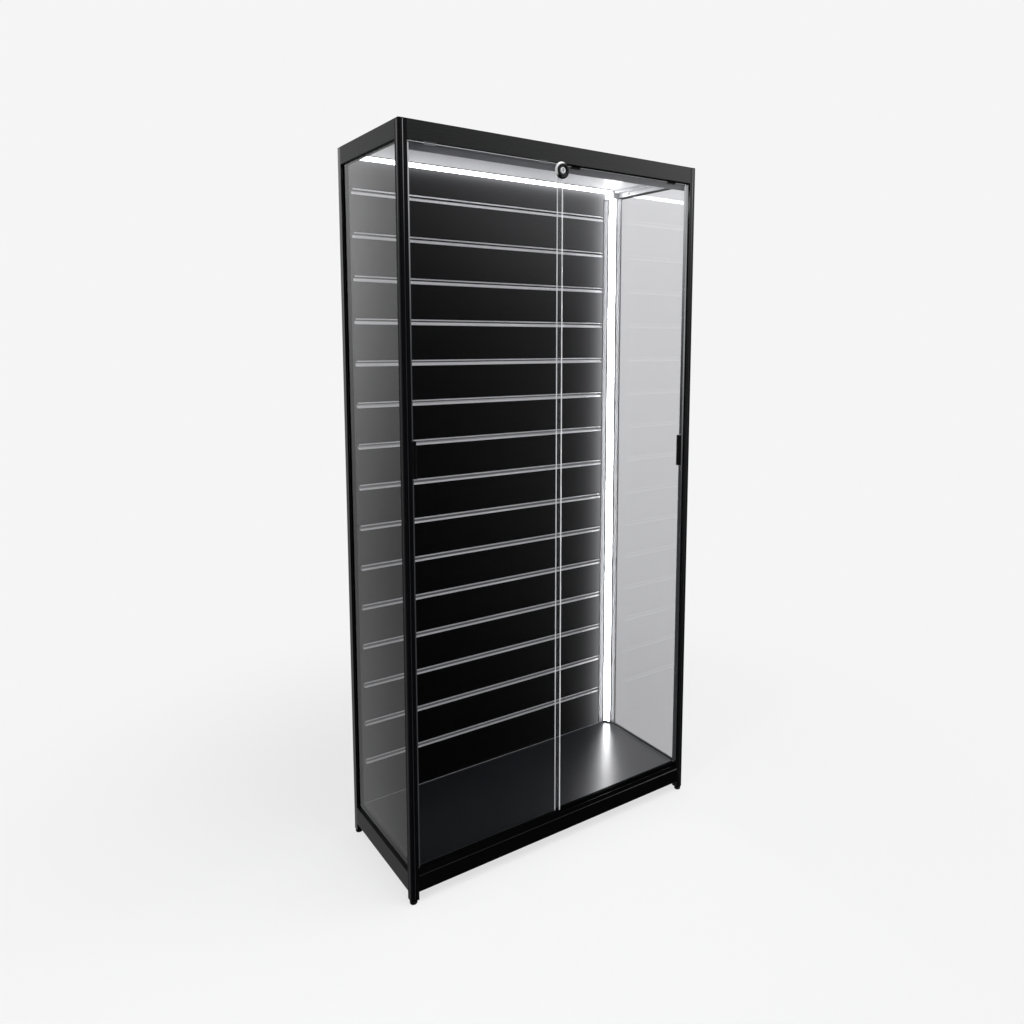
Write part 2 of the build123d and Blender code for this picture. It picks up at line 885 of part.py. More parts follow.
def all_nodes():
    """Every piece of the cabinet by its name."""
    nodes = {}
    corners = [
        ("front_left", False, False),
        ("front_right", True, False),
        ("rear_left", False, True),
        ("rear_right", True, True),
    ]
    for name, right, rear in corners:
        nodes["post_" + name] = make_post(right, rear)
        nodes["foot_pad_" + name] = make_foot_pad(right, rear)
        nodes["foot_stud_" + name] = make_foot_stud(right, rear)
    nodes["foot_plugs"] = [make_foot_plug(right, rear) for _, right, rear in corners]
    nodes["base_front"] = make_front_base()
    nodes["base_rear"] = make_rear_base()
    nodes["base_left"] = make_left_base()
    nodes["base_right"] = on_right(make_left_base())
    nodes["fascia_front"] = make_front_fascia()
    nodes["fascia_rear"] = make_rear_fascia()
    nodes["fascia_left"] = make_left_fascia()
    nodes["fascia_right"] = on_right(make_left_fascia())
    nodes["cable_outlet"] = make_outlet()
    nodes["roof_panel"] = make_roof()
    nodes["ceiling_panel"] = make_ceiling()
    nodes["deck_panel"] = make_deck()
    nodes["slatwall_board"] = make_board()
    nodes["slat_liners"] = make_liners()
    nodes["side_glass_left"] = make_left_glass()
    nodes["side_glass_right"] = on_right(make_left_glass())
    nodes["side_gasket_left"] = make_left_gasket()
    nodes["side_gasket_right"] = on_right(make_left_gasket())
    nodes["side_bead_left"] = make_left_bead()
    nodes["side_bead_right"] = on_right(make_left_bead())
    nodes["bottom_track"] = make_bottom_track()
    nodes["top_track"] = make_top_track()
    nodes["track_buffers"] = make_buffers()
    nodes["ceiling_bearer_left"] = make_left_bearer()
    nodes["ceiling_bearer_right"] = on_right(make_left_bearer())
    nodes["top_lamp_channel"] = make_top_lamp_channel()
    nodes["top_lamp_lens"] = make_top_lamp_lens()
    nodes["corner_lamp_channel"] = make_corner_lamp_channel()
    nodes["corner_lamp_lens"] = make_corner_lamp_lens()
    nodes["corner_lamp_cap"] = make_corner_lamp_cap()
    nodes["lamp_corner_block"] = make_corner_block()

    doors = [
        ("left", left_plane, left_glass_start, left_glass_end),
        ("right", right_plane, right_glass_start, right_glass_end),
    ]
    for name, plane, x0, x1 in doors:
        nodes[name + "_door_shoe"] = make_shoe(plane, x0, x1)
        nodes[name + "_door_guides"] = make_guides(plane, x0, x1)
        for number, x in enumerate(roller_places(x0, x1), 1):
            nodes[f"{name}_door_roller_{number}"] = make_roller(plane, x)
    nodes["left_door_glass"] = make_left_door_glass()
    nodes["right_door_glass"] = make_door_glass(right_plane, right_glass_start, right_glass_end)
    nodes["left_door_pull"] = make_pull(
        left_plane, left_glass_start, 1, left_pull_reach, left_pull_middle, True
    )
    nodes["right_door_pull"] = make_pull(
        right_plane, right_glass_end, -1, right_pull_reach, right_pull_middle, False
    )
    nodes["lock_body"] = make_lock_body()
    nodes["lock_ring"] = make_lock_ring()
    nodes["lock_plug"] = make_lock_plug()
    nodes["lock_clamp"] = make_lock_clamp()
    return nodes


def main():
    """Write one file for each piece."""
    os.makedirs("parts", exist_ok=True)
    for name, piece in all_nodes().items():
        solids = piece if isinstance(piece, list) else [piece]
        solids = [solid for item in solids for solid in item.solids()]
        shape = solids[0] if len(solids) == 1 else Compound(children=solids)
        export_step(shape, os.path.join("parts", name + ".step"))
        print(name, len(solids), round(sum(solid.volume for solid in solids), 1))


main()
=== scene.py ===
"""A glass display cabinet: finishes, small fittings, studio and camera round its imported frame."""

import logging
import math
from dataclasses import dataclass
from enum import Enum
from functools import partial
from typing import Callable, Iterable

import bmesh
import bpy
from mathutils import Matrix, Vector


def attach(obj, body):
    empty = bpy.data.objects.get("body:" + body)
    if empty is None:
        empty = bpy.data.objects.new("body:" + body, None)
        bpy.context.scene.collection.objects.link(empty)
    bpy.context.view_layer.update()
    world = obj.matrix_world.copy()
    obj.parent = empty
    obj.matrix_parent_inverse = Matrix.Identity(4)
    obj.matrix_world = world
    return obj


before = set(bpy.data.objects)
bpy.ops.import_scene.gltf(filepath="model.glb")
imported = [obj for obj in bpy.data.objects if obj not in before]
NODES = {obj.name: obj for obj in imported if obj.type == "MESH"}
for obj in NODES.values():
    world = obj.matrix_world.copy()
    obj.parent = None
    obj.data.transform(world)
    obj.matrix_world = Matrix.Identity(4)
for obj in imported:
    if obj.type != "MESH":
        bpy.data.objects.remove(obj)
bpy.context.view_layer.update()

MM = 0.001

log = logging.getLogger("cabinet")

Tree = bpy.types.ShaderNodeTree
Node = bpy.types.Node
Socket = bpy.types.NodeSocket
Colour = tuple[float, float, float, float]
Corner = tuple[float, float, float]
Pair = tuple[float, float]

# Where a smooth change starts and ends, then the values before and after it
Fade = tuple[float, float, float, float]


class Axis(Enum):
    """The three axes of the cabinet."""

    X = 0
    Y = 1
    Z = 2


# Shader helpers

# Nearly all of a noise lies between these values
NOISE_RANGE = (0.3, 0.7)

# Octaves of noise in lines and pebbles
FINE_DETAIL = 3.0

# Inputs of a colour mix, which has one set of them for each kind of data
MIX_FIRST_COLOUR = 6
MIX_SECOND_COLOUR = 7
MIX_COLOUR_RESULT = 2

# Blend that follows the angle between a face and the line of sight evenly
PLAIN_BLEND = 0.5


def linear(code: str) -> Colour:
    """Turn an sRGB hex colour into linear values.

    Args:
        code: The colour, such as "#1a1b1c".

    Returns:
        Red, green, blue and an alpha of 1.
    """
    values = [int(code[i : i + 2], 16) / 255 for i in (1, 3, 5)]
    red, green, blue = (v / 12.92 if v <= 0.04045 else ((v + 0.055) / 1.055) ** 2.4 for v in values)
    return red, green, blue, 1.0


def add_node(
    tree: Tree, kind: str, inputs: dict[str | int, object] | None = None, **settings: object
) -> Node:
    """Add a node with its settings and its inputs.

    Args:
        tree: The node tree.
        kind: The node's type name.
        inputs: A socket to link or a fixed value for each input, by its name or number.
        **settings: Properties of the node.

    Returns:
        The new node.
    """
    node = tree.nodes.new(kind)
    for name, value in settings.items():
        setattr(node, name, value)
    for key, source in (inputs or {}).items():
        if isinstance(source, Socket):
            tree.links.new(source, node.inputs[key])
        else:
            node.inputs[key].default_value = source
    return node


def shift_colour(code: str, gain: float) -> Colour:
    """A colour made lighter or darker by a gain, in linear values."""
    red, green, blue, alpha = linear(code)
    return min(red * gain, 1.0), min(green * gain, 1.0), min(blue * gain, 1.0), alpha


def grain(tree: Tree, spacing_mm: Corner, detail: float = 2.0) -> Socket:
    """Noise from 0 to 1, whose lumps have a real size along X, Y and Z."""
    coords = add_node(tree, "ShaderNodeTexCoord").outputs["Object"]
    scale = tuple(1.0 / (spacing * MM) for spacing in spacing_mm)
    scaled = add_node(tree, "ShaderNodeMapping", {"Vector": coords, "Scale": scale})
    inputs = {"Vector": scaled.outputs["Vector"], "Scale": 1.0, "Detail": detail}
    return add_node(tree, "ShaderNodeTexNoise", inputs).outputs["Fac"]


def drawn_lines(tree: Tree, along: Axis, line_mm: float, run_mm: float) -> Socket:
    """Noise stretched along one axis, like the lines that a die leaves on an extrusion."""
    spacing = [line_mm] * 3
    spacing[along.value] = run_mm
    return grain(tree, tuple(spacing), FINE_DETAIL)


def remap(tree: Tree, source: Socket, fade: Fade, **settings: object) -> Socket:
    """Map one range of values onto another."""
    inputs = dict(zip(("From Min", "From Max", "To Min", "To Max"), fade))
    inputs["Value"] = source
    return add_node(tree, "ShaderNodeMapRange", inputs, **settings).outputs["Result"]


def spread(tree: Tree, source: Socket, low: float, high: float) -> Socket:
    """Map noise onto a range."""
    return remap(tree, source, (*NOISE_RANGE, low, high))


def ramp(
    tree: Tree, source: Socket, start: float, end: float, low: float = 0.0, high: float = 1.0
) -> Socket:
    """A smooth change from one value to another as the source goes from start to end."""
    return remap(tree, source, (start, end, low, high), interpolation_type="SMOOTHSTEP")


def figure(tree: Tree, operation: str, *terms: Socket | float) -> Socket:
    """One step of arithmetic on sockets and fixed numbers."""
    node = add_node(tree, "ShaderNodeMath", dict(enumerate(terms)), operation=operation)
    return node.outputs[0]


def place_on(tree: Tree, axis: Axis) -> Socket:
    """Where a point lies on an axis of the cabinet, in metres."""
    coords = add_node(tree, "ShaderNodeTexCoord").outputs["Object"]
    return add_node(tree, "ShaderNodeSeparateXYZ", {"Vector": coords}).outputs[axis.value]


def turned_to(tree: Tree, axis: Axis) -> Socket:
    """How far each face is turned to one axis of the model, from -1 to 1."""
    normal = add_node(tree, "ShaderNodeTexCoord").outputs["Normal"]
    return add_node(tree, "ShaderNodeSeparateXYZ", {"Vector": normal}).outputs[axis.value]


def slant_of_look(tree: Tree) -> Socket:
    """0 where a face is looked at head-on, up to 1 where it is seen edge-on."""
    return add_node(tree, "ShaderNodeLayerWeight", {"Blend": PLAIN_BLEND}).outputs["Facing"]


def blend_colours(
    tree: Tree, factor: Socket, first: Colour | Socket, second: Colour | Socket
) -> Socket:
    """Mix two colours, each a fixed one or a socket, by a factor."""
    ends = {"Factor": factor, MIX_FIRST_COLOUR: first, MIX_SECOND_COLOUR: second}
    return add_node(tree, "ShaderNodeMix", ends, data_type="RGBA").outputs[MIX_COLOUR_RESULT]


def vary(tree: Tree, source: Socket, value: float, shares: Pair) -> Socket:
    """A value that goes with noise from one share of itself to another, and to 1 at most."""
    return spread(tree, source, value * shares[0], min(value * shares[1], 1.0))


def vary_colour(tree: Tree, source: Socket, code: str, shares: Pair) -> Socket:
    """A colour that goes with noise from one gain to another."""
    return blend_colours(tree, source, *(shift_colour(code, share) for share in shares))


def raised(tree: Tree, height: Socket, strength: float, relief_mm: float) -> Socket:
    """The normal of a skin that noise raises by a real height."""
    inputs = {"Height": height, "Strength": strength, "Distance": relief_mm * MM}
    return add_node(tree, "ShaderNodeBump", inputs).outputs["Normal"]


def textured(
    tree: Tree, finish: "Finish", shade: Socket, relief: Socket, strength: float
) -> dict[str, object]:
    """Inputs of a skin: its colour goes with one noise, its roughness and relief with another."""
    return {
        "Base Color": vary_colour(tree, shade, finish.colour, finish.shade_shares),
        "Roughness": vary(tree, relief, finish.roughness, finish.rough_shares),
        "Normal": raised(tree, relief, strength, finish.relief_mm),
    }


def glowing(colour: Colour | Socket, strength: float | Socket) -> dict[str, object]:
    """Inputs of a skin that gives off light of its own colour."""
    return {"Base Color": colour, "Emission Color": colour, "Emission Strength": strength}


def principled(tree: Tree, inputs: dict[str, object]) -> Socket:
    """The shader of a solid skin with these inputs."""
    return add_node(tree, "ShaderNodeBsdfPrincipled", inputs).outputs["BSDF"]


def mix_shaders(tree: Tree, share: Socket, first: Socket, second: Socket) -> Socket:
    """Two shaders, of which the second has the share."""
    return add_node(tree, "ShaderNodeMixShader", {0: share, 1: first, 2: second}).outputs[0]


def plain(tree: Tree, kind: str, code: str, **inputs: object) -> Socket:
    """A shader of one colour: an emission, a background or a diffuse paint."""
    return add_node(tree, kind, {"Color": linear(code), **inputs}).outputs[0]


def seen_straight(tree: Tree) -> Socket:
    """1 where the backdrop is looked at, also through glass, and 0 where it only lights."""
    path = add_node(tree, "ShaderNodeLightPath").outputs
    return figure(tree, "MAXIMUM", path["Is Camera Ray"], path["Is Transmission Ray"])


# Finishes

# Heights over which glass and boards go from their low to their high value, in metres
DECK_TO_CEILING = (0.1, 1.95)

# Left to right across the boards, in metres
SIDE_TO_SIDE = (-0.46, 0.46)

# Width and length of the lines in satin aluminium, in millimetres, and what they vary
SATIN_LINES = (0.5, 200.0)
SATIN_ROUGH_SHARES = (0.8, 1.2)
SATIN_SHADE_SHARES = (0.92, 1.05)


@dataclass(frozen=True)
class Finish:
    """A material of the cabinet, made once and then shared."""

    name: str

    def shader(self, tree: Tree) -> Socket:
        """Build the shader and return its output socket."""
        raise NotImplementedError

    def material(self) -> bpy.types.Material:
        """Return the material, built on first use."""
        known = bpy.data.materials.get(self.name)
        if known:
            return known
        material = bpy.data.materials.new(self.name)
        material.use_nodes = True
        tree = material.node_tree
        tree.nodes.clear()
        add_node(tree, "ShaderNodeOutputMaterial", {"Surface": self.shader(tree)})
        return material


@dataclass(frozen=True)
class AnodisedExtrusion(Finish):
    """Aluminium drawn through a die and dyed: fine lines run along its length."""

    colour: str
    roughness: float
    along: Axis
    ior: float
    graze_ior: float | None = None
    painted_shade_above_mm: float | None = None
    line_mm: float = 0.6
    run_mm: float = 260.0
    relief_mm: float = 0.0015
    mottle_mm: float = 60.0
    rough_shares: Pair = (0.96, 1.05)
    shade_shares: Pair = (0.9, 1.1)
    graze_span: Pair = (0.3, 0.56)

    def shader(self, tree: Tree) -> Socket:
        """Build a dark dielectric skin with faint drawing lines, and painted shade above a height
        where one is given.

        Returns:
            The shader, which mirrors less at a grazing look where a grazing index is given.
        """
        lines = drawn_lines(tree, self.along, self.line_mm, self.run_mm)
        mottle = grain(tree, (self.mottle_mm,) * 3)
        skin = textured(tree, self, mottle, lines, strength=0.25) | {"IOR": self.ior}
        # Painted shade: above the given height the skin turns black.
        if self.painted_shade_above_mm:
            edge = self.painted_shade_above_mm * MM
            above = ramp(tree, place_on(tree, Axis.Z), edge, edge + MM)
            skin["Base Color"] = blend_colours(tree, above, skin["Base Color"], linear(POST_BLACK))
        if self.graze_ior:
            ends = (self.ior, self.graze_ior)
            skin["IOR"] = ramp(tree, slant_of_look(tree), *self.graze_span, *ends)
        return principled(tree, skin)


@dataclass(frozen=True)
class SatinSilver(Finish):
    """Aluminium with a satin clear anodising: it scatters light softly along its length."""

    colour: str
    roughness: float
    along: Axis
    metallic: float = 0.55
    relief_mm: float = 0.004

    def shader(self, tree: Tree) -> Socket:
        """Build a soft grey metal with lines along the extrusion."""
        lines = drawn_lines(tree, self.along, *SATIN_LINES)
        return principled(
            tree,
            {
                "Base Color": vary_colour(tree, lines, self.colour, SATIN_SHADE_SHARES),
                "Roughness": vary(tree, lines, self.roughness, SATIN_ROUGH_SHARES),
                "Normal": raised(tree, lines, strength=0.2, relief_mm=self.relief_mm),
                "Metallic": self.metallic,
            },
        )


@dataclass(frozen=True)
class SlotLiner(Finish):
    """Clear anodised liner with painted light and shade: bright lips, a painted glow inside as if
    lit from below the upper lip, and painted shade deep in the slots, stronger on the low rows, and
    on the rims and cut ends.

    Each fade within a slot is given by heights in millimetres from the slot's middle.
    """

    colour: str
    roughness: float
    lip_depth_mm: float
    first_slot_mm: float
    pitch_mm: float
    painted_shade_colour: str = "#101011"
    lip_edge_mm: float = 0.2
    painted_light_span_mm: Pair = (1.6, -4.4)
    painted_lip_light_mm: Fade = (-3.0, 3.0, 0.04, 0.0)
    painted_rim_shade_mm: Pair = (6.9, 7.6)
    painted_shade_span_mm: Pair = (-2.4, 2.2)
    low_rows_m: Pair = (1.7, 0.8)
    painted_inside_light: Pair = (0.42, 0.1)
    painted_low_row_shade: float = 0.75
    end_turn: Pair = (0.4, 0.8)

    def shader(self, tree: Tree) -> Socket:
        """Build the satin skin, with painted shade and a painted glow set by depth and by height
        within each slot.
        """
        away = figure(tree, "SUBTRACT", place_on(tree, Axis.Z), self.first_slot_mm * MM)
        turns = figure(tree, "DIVIDE", away, self.pitch_mm * MM)
        nearest = figure(tree, "FLOOR", figure(tree, "ADD", turns, 0.5))
        height = figure(tree, "SUBTRACT", turns, nearest)
        unit = 1.0 / self.pitch_mm

        def within(start_mm: float, end_mm: float, low: float = 0.0, high: float = 1.0) -> Socket:
            """A fade by the height within a slot."""
            return ramp(tree, height, start_mm * unit, end_mm * unit, low, high)

        lip = self.lip_depth_mm * MM
        margin = self.lip_edge_mm * MM
        deep = ramp(tree, place_on(tree, Axis.Y), lip - margin, lip + margin)
        low_rows = ramp(tree, place_on(tree, Axis.Z), *self.low_rows_m)
        most = ramp(tree, low_rows, 0.0, 1.0, *self.painted_inside_light)
        inside = figure(tree, "MULTIPLY", within(*self.painted_light_span_mm), most)
        within_slot = figure(tree, "MULTIPLY", deep, inside)
        # Painted light: a faint glow on the lower lip and a glow inside below the upper lip, weaker
        # on the low rows and none on the cut ends.
        lit = figure(tree, "ADD", within(*self.painted_lip_light_mm), within_slot)
        sideways = figure(tree, "ABSOLUTE", turned_to(tree, Axis.X))
        cut_end = ramp(tree, sideways, *self.end_turn)
        glow = figure(tree, "MULTIPLY", lit, figure(tree, "SUBTRACT", 1.0, cut_end))
        # Painted shade: the deep faces darken, more on the low rows, and so do the rims and the cut
        # ends.
        painted_low_row_shade = figure(tree, "MULTIPLY", low_rows, self.painted_low_row_shade)
        hidden = figure(tree, "MAXIMUM", within(*self.painted_shade_span_mm), painted_low_row_shade)
        shaded = figure(tree, "MULTIPLY", deep, hidden)
        dark = figure(tree, "MAXIMUM", within(*self.painted_rim_shade_mm), shaded)
        dark = figure(tree, "MAXIMUM", dark, cut_end)
        lines = drawn_lines(tree, Axis.X, *SATIN_LINES)
        bright = vary_colour(tree, lines, self.colour, SATIN_SHADE_SHARES)
        colour = blend_colours(tree, dark, bright, linear(self.painted_shade_colour))
        rough = vary(tree, lines, self.roughness, SATIN_ROUGH_SHARES)
        return principled(tree, glowing(colour, glow) | {"Roughness": rough, "Metallic": 0.45})


@dataclass(frozen=True)
class PaintedSpill:
    """Painted light: a glow that stands for light skimming a board beside a lamp, fading with the
    distance from it.
    """

    across: Axis
    lamp_mm: float
    reach_mm: float
    strength: float
    fall: float = 1.5

    def level(self, tree: Tree) -> Socket:
        """The spill's strength at each point of the board."""
        away = figure(tree, "SUBTRACT", place_on(tree, self.across), self.lamp_mm * MM)
        square = figure(tree, "MULTIPLY", away, away)
        reach = (self.reach_mm * MM) ** 2
        share = figure(tree, "DIVIDE", reach, figure(tree, "ADD", square, reach))
        return figure(tree, "MULTIPLY", figure(tree, "POWER", share, self.fall), self.strength)


@dataclass(frozen=True)
class LaminatedBoard(Finish):
    """Board under a pressed melamine skin with a fine pebbled satin, and painted lamp light where
    spills are given.
    """

    colour: str
    roughness: float
    ior: float = 1.5
    pebble_mm: float = 1.6
    relief_mm: float = 0.01
    cloud_mm: float = 180.0
    rough_shares: Pair = (0.92, 1.08)
    shade_shares: Pair = (0.85, 1.18)
    spills: tuple[PaintedSpill, ...] = ()
    spill_colour: str = "#fafbff"
    spill_across: Pair = (1.0, 1.0)
    spill_upward: Pair = (1.0, 1.0)
    spill_face: Axis = Axis.Y
    spill_turn: Pair = (-0.4, -0.8)

    def shader(self, tree: Tree) -> Socket:
        """Build the satin skin, with the spills' painted light on the face that is turned to the
        lamps.
        """
        pebbles = grain(tree, (self.pebble_mm,) * 3, FINE_DETAIL)
        cloud = grain(tree, (self.cloud_mm,) * 3)
        skin = textured(tree, self, cloud, pebbles, strength=0.2) | {"IOR": self.ior}
        if self.spills:
            skin["Emission Color"] = linear(self.spill_colour)
            skin["Emission Strength"] = self.painted_spill_glow(tree)
        return principled(tree, skin)

    def painted_spill_glow(self, tree: Tree) -> Socket:
        """The strength of the painted light of all spills together."""
        glow = self.spills[0].level(tree)
        for spill in self.spills[1:]:
            glow = figure(tree, "ADD", glow, spill.level(tree))
        side = ramp(tree, place_on(tree, Axis.X), *SIDE_TO_SIDE, *self.spill_across)
        rise = ramp(tree, place_on(tree, Axis.Z), *DECK_TO_CEILING, *self.spill_upward)
        front = ramp(tree, turned_to(tree, self.spill_face), *self.spill_turn)
        share = figure(tree, "MULTIPLY", figure(tree, "MULTIPLY", side, rise), front)
        return figure(tree, "MULTIPLY", glow, share)


@dataclass(frozen=True)
class MouldedPlastic(Finish):
    """Plastic or rubber from a spark-eroded mould, whose grit shows as a fine matt grain."""

    colour: str
    roughness: float
    grit_mm: float = 0.7
    relief_mm: float = 0.02
    rough_shares: Pair = (0.9, 1.1)
    shade_shares: Pair = (0.9, 1.12)

    def shader(self, tree: Tree) -> Socket:
        """Build the grained skin."""
        grit = grain(tree, (self.grit_mm,) * 3)
        skin = textured(tree, self, grit, grit, strength=0.3)
        return principled(tree, skin | {"IOR": 1.46})


@dataclass(frozen=True)
class TurnedMetal(Finish):
    """Turned and plated steel: a fine lathe finish with faint wear."""

    colour: str
    roughness: float
    mark_mm: float = 0.5
    haze_mm: float = 9.0
    rough_shares: Pair = (0.7, 1.3)
    shade_shares: Pair = (0.94, 1.03)

    def shader(self, tree: Tree) -> Socket:
        """Build the metal with a slightly uneven polish."""
        marks = grain(tree, (self.mark_mm,) * 3)
        haze = grain(tree, (self.haze_mm,) * 3)
        colour = vary_colour(tree, marks, self.colour, self.shade_shares)
        rough = vary(tree, haze, self.roughness, self.rough_shares)
        return principled(tree, {"Base Color": colour, "Roughness": rough, "Metallic": 1.0})


@dataclass(frozen=True)
class FloatGlass(Finish):
    """Clear float glass: its faces mirror by angle, its see-through tint carries painted shade that
    darkens it towards the bottom, and its ground edges look pale with a painted glow.
    """

    across: Axis
    tint: str
    painted_shade_low_tint: str
    edge_colour: str
    painted_edge_glow: float
    painted_glow_on_top: bool = True
    head_on_mirror: float = 0.04
    slant_power: float = 5.0
    edge_cloud_mm: Corner = (14.0, 14.0, 40.0)
    edge_shares: Pair = (0.8, 1.2)
    face_turn: float = 0.9

    def shader(self, tree: Tree) -> Socket:
        """Build see-through faces and a pale edge, told apart by the way each face looks."""
        steep = figure(tree, "POWER", slant_of_look(tree), self.slant_power)
        least = self.head_on_mirror
        mirror = figure(tree, "MULTIPLY_ADD", steep, 1.0 - least, least)
        # Painted shade: the see-through tint is darker towards the bottom.
        height = ramp(tree, place_on(tree, Axis.Z), *DECK_TO_CEILING)
        veil = blend_colours(tree, height, linear(self.painted_shade_low_tint), linear(self.tint))
        clear = add_node(tree, "ShaderNodeBsdfTransparent", {"Color": veil}).outputs[0]
        gloss = plain(tree, "ShaderNodeBsdfAnisotropic", "#ffffff", Roughness=0.0)
        pane = mix_shaders(tree, mirror, clear, gloss)
        return mix_shaders(tree, self.is_face(tree), self.ground_edge(tree), pane)

    def ground_edge(self, tree: Tree) -> Socket:
        """The pale shader of the ground edges, with a painted glow."""
        cloud = grain(tree, self.edge_cloud_mm)
        colour = vary_colour(tree, cloud, self.edge_colour, self.edge_shares)
        skin = glowing(colour, self.painted_edge_glow)
        return principled(tree, skin | {"Roughness": 0.18, "IOR": 1.5})

    def is_face(self, tree: Tree) -> Socket:
        """1 on the faces of the pane, and on its top where that has no painted glow, else 0."""
        turn = figure(tree, "ABSOLUTE", turned_to(tree, self.across))
        if not self.painted_glow_on_top:
            upward = figure(tree, "ABSOLUTE", turned_to(tree, Axis.Z))
            turn = figure(tree, "MAXIMUM", turn, upward)
        return figure(tree, "GREATER_THAN", turn, self.face_turn)


@dataclass(frozen=True)
class LockChrome(Finish):
    """Chrome face of the lock with a painted reflection: bright and glowing towards the lamp or
    within a radius, black elsewhere.
    """

    centre_mm: Pair
    painted_bright_radius_mm: float | None
    roughness: float
    radius_edge_mm: float = 0.6
    lean_share: float = 0.7
    lean_span_mm: Pair = (2.0, 15.0)
    mark_mm: float = 0.4
    mark_shares: Pair = (0.8, 1.0)
    painted_dark_reflection_colour: str = "#0b0b0c"
    painted_highlight_colour: str = "#e6e7e8"
    painted_most_glow: float = 0.25
    most_metallic: float = 0.5

    def shader(self, tree: Tree) -> Socket:
        """Build the plate's painted reflection from the distance and the direction to the lock's
        axis.
        """
        bright = self.painted_brightness(tree)
        marks = spread(tree, grain(tree, (self.mark_mm,) * 3), *self.mark_shares)
        share = figure(tree, "MULTIPLY", bright, marks)
        colour = blend_colours(tree, share, linear(self.painted_dark_reflection_colour), linear(self.painted_highlight_colour))
        skin = glowing(colour, figure(tree, "MULTIPLY", bright, self.painted_most_glow))
        skin["Metallic"] = figure(tree, "MULTIPLY", bright, self.most_metallic)
        return principled(tree, skin | {"Roughness": self.roughness})

    def painted_brightness(self, tree: Tree) -> Socket:
        """1 where the chrome has its painted highlight and 0 where it has its painted black
        reflection.
        """
        across = figure(tree, "SUBTRACT", place_on(tree, Axis.X), self.centre_mm[0] * MM)
        upward = figure(tree, "SUBTRACT", place_on(tree, Axis.Z), self.centre_mm[1] * MM)
        if self.painted_bright_radius_mm is None:
            leftward = figure(tree, "MULTIPLY", across, -1.0)
            lean = figure(tree, "MULTIPLY_ADD", upward, self.lean_share, leftward)
            return ramp(tree, lean, *(span * MM for span in self.lean_span_mm))
        squares = (figure(tree, "MULTIPLY", term, term) for term in (across, upward))
        distance = figure(tree, "SQRT", figure(tree, "ADD", *squares))
        edge = self.painted_bright_radius_mm * MM
        return ramp(tree, distance, edge, edge + self.radius_edge_mm * MM, 1.0, 0.0)


@dataclass(frozen=True)
class LitSeal(Finish):
    """A fine line of seal, felt, rail edge or groove, with a painted glow that is palest near a
    lamp.
    """

    painted_low_glow_colour: str
    painted_high_glow_colour: str
    fade_mm: Pair = (1100.0, 2050.0)
    along: Axis = Axis.Z
    curve: float = 2.4
    cloud_mm: Corner = (3.0, 3.0, 60.0)
    cloud_shares: Pair = (0.9, 1.1)
    body_colour: str = "#1a1b1c"

    def shader(self, tree: Tree) -> Socket:
        """Build a dark skin whose painted milky glow is palest near the lamp."""
        low, high = (height * MM for height in self.fade_mm)
        rise = ramp(tree, place_on(tree, self.along), low, high)
        curve = figure(tree, "POWER", rise, self.curve)
        cloud = spread(tree, grain(tree, self.cloud_mm), *self.cloud_shares)
        colour = blend_colours(tree, curve, linear(self.painted_low_glow_colour), linear(self.painted_high_glow_colour))
        skin = glowing(colour, cloud) | {"Base Color": linear(self.body_colour)}
        return principled(tree, skin | {"Roughness": 0.3, "IOR": 1.42})


@dataclass(frozen=True)
class ClearPlastic(Finish):
    """Clear polycarbonate with faint flow marks from its mould, and a painted glow in its sheen."""

    tint: str
    roughness: float
    mark_mm: float = 4.0
    sheen_shares: Pair = (0.16, 0.26)
    colour: str = "#8d8e90"
    painted_glow_colour: str = "#f2f3f4"
    # Strength of the painted glow
    glow: float = 0.16

    def shader(self, tree: Tree) -> Socket:
        """Build a mostly clear skin with a soft sheen that carries a painted glow."""
        marks = spread(tree, grain(tree, (self.mark_mm,) * 3), *self.sheen_shares)
        clear = plain(tree, "ShaderNodeBsdfTransparent", self.tint)
        skin = glowing(linear(self.painted_glow_colour), self.glow) | {"Base Color": linear(self.colour)}
        sheen = principled(tree, skin | {"Roughness": self.roughness, "IOR": 1.58})
        return mix_shaders(tree, marks, clear, sheen)


@dataclass(frozen=True)
class OpalLens(Finish):
    """Opal acrylic lit from behind by a strip of lamps, a little uneven along its length."""

    colour: str
    strength: float
    ripple_mm: float = 45.0
    shade_shares: Pair = (0.96, 1.0)

    def shader(self, tree: Tree) -> Socket:
        """Build the glowing lens."""
        ripple = grain(tree, (self.ripple_mm,) * 3, 1.0)
        colour = vary_colour(tree, ripple, self.colour, self.shade_shares)
        skin = glowing(colour, self.strength)
        return principled(tree, skin | {"Roughness": 0.35, "IOR": 1.49})


@dataclass(frozen=True)
class PaperFloor(Finish):
    """Pale studio paper, which keeps the cabinet's shadow near it and is plain farther out."""

    paper: str
    lit_share: float = 0.745
    shadow_grey: str = "#858585"
    bounce_grey: str = "#c8c8c8"
    shadow_reach_m: Pair = (0.7, 2.0)

    def shader(self, tree: Tree) -> Socket:
        """Build paper to look at, and a grey floor that light bounces from."""
        lit = plain(tree, "ShaderNodeEmission", self.paper, Strength=self.lit_share)
        near = plain(tree, "ShaderNodeBsdfDiffuse", self.shadow_grey)
        shaded = add_node(tree, "ShaderNodeAddShader", {0: lit, 1: near}).outputs[0]
        coords = add_node(tree, "ShaderNodeTexCoord").outputs["Object"]
        reach = add_node(tree, "ShaderNodeVectorMath", {0: coords}, operation="LENGTH")
        fade = ramp(tree, reach.outputs["Value"], *self.shadow_reach_m)
        far = plain(tree, "ShaderNodeEmission", self.paper)
        seen = mix_shaders(tree, fade, shaded, far)
        bounce = plain(tree, "ShaderNodeBsdfDiffuse", self.bounce_grey)
        return mix_shaders(tree, seen_straight(tree), bounce, seen)


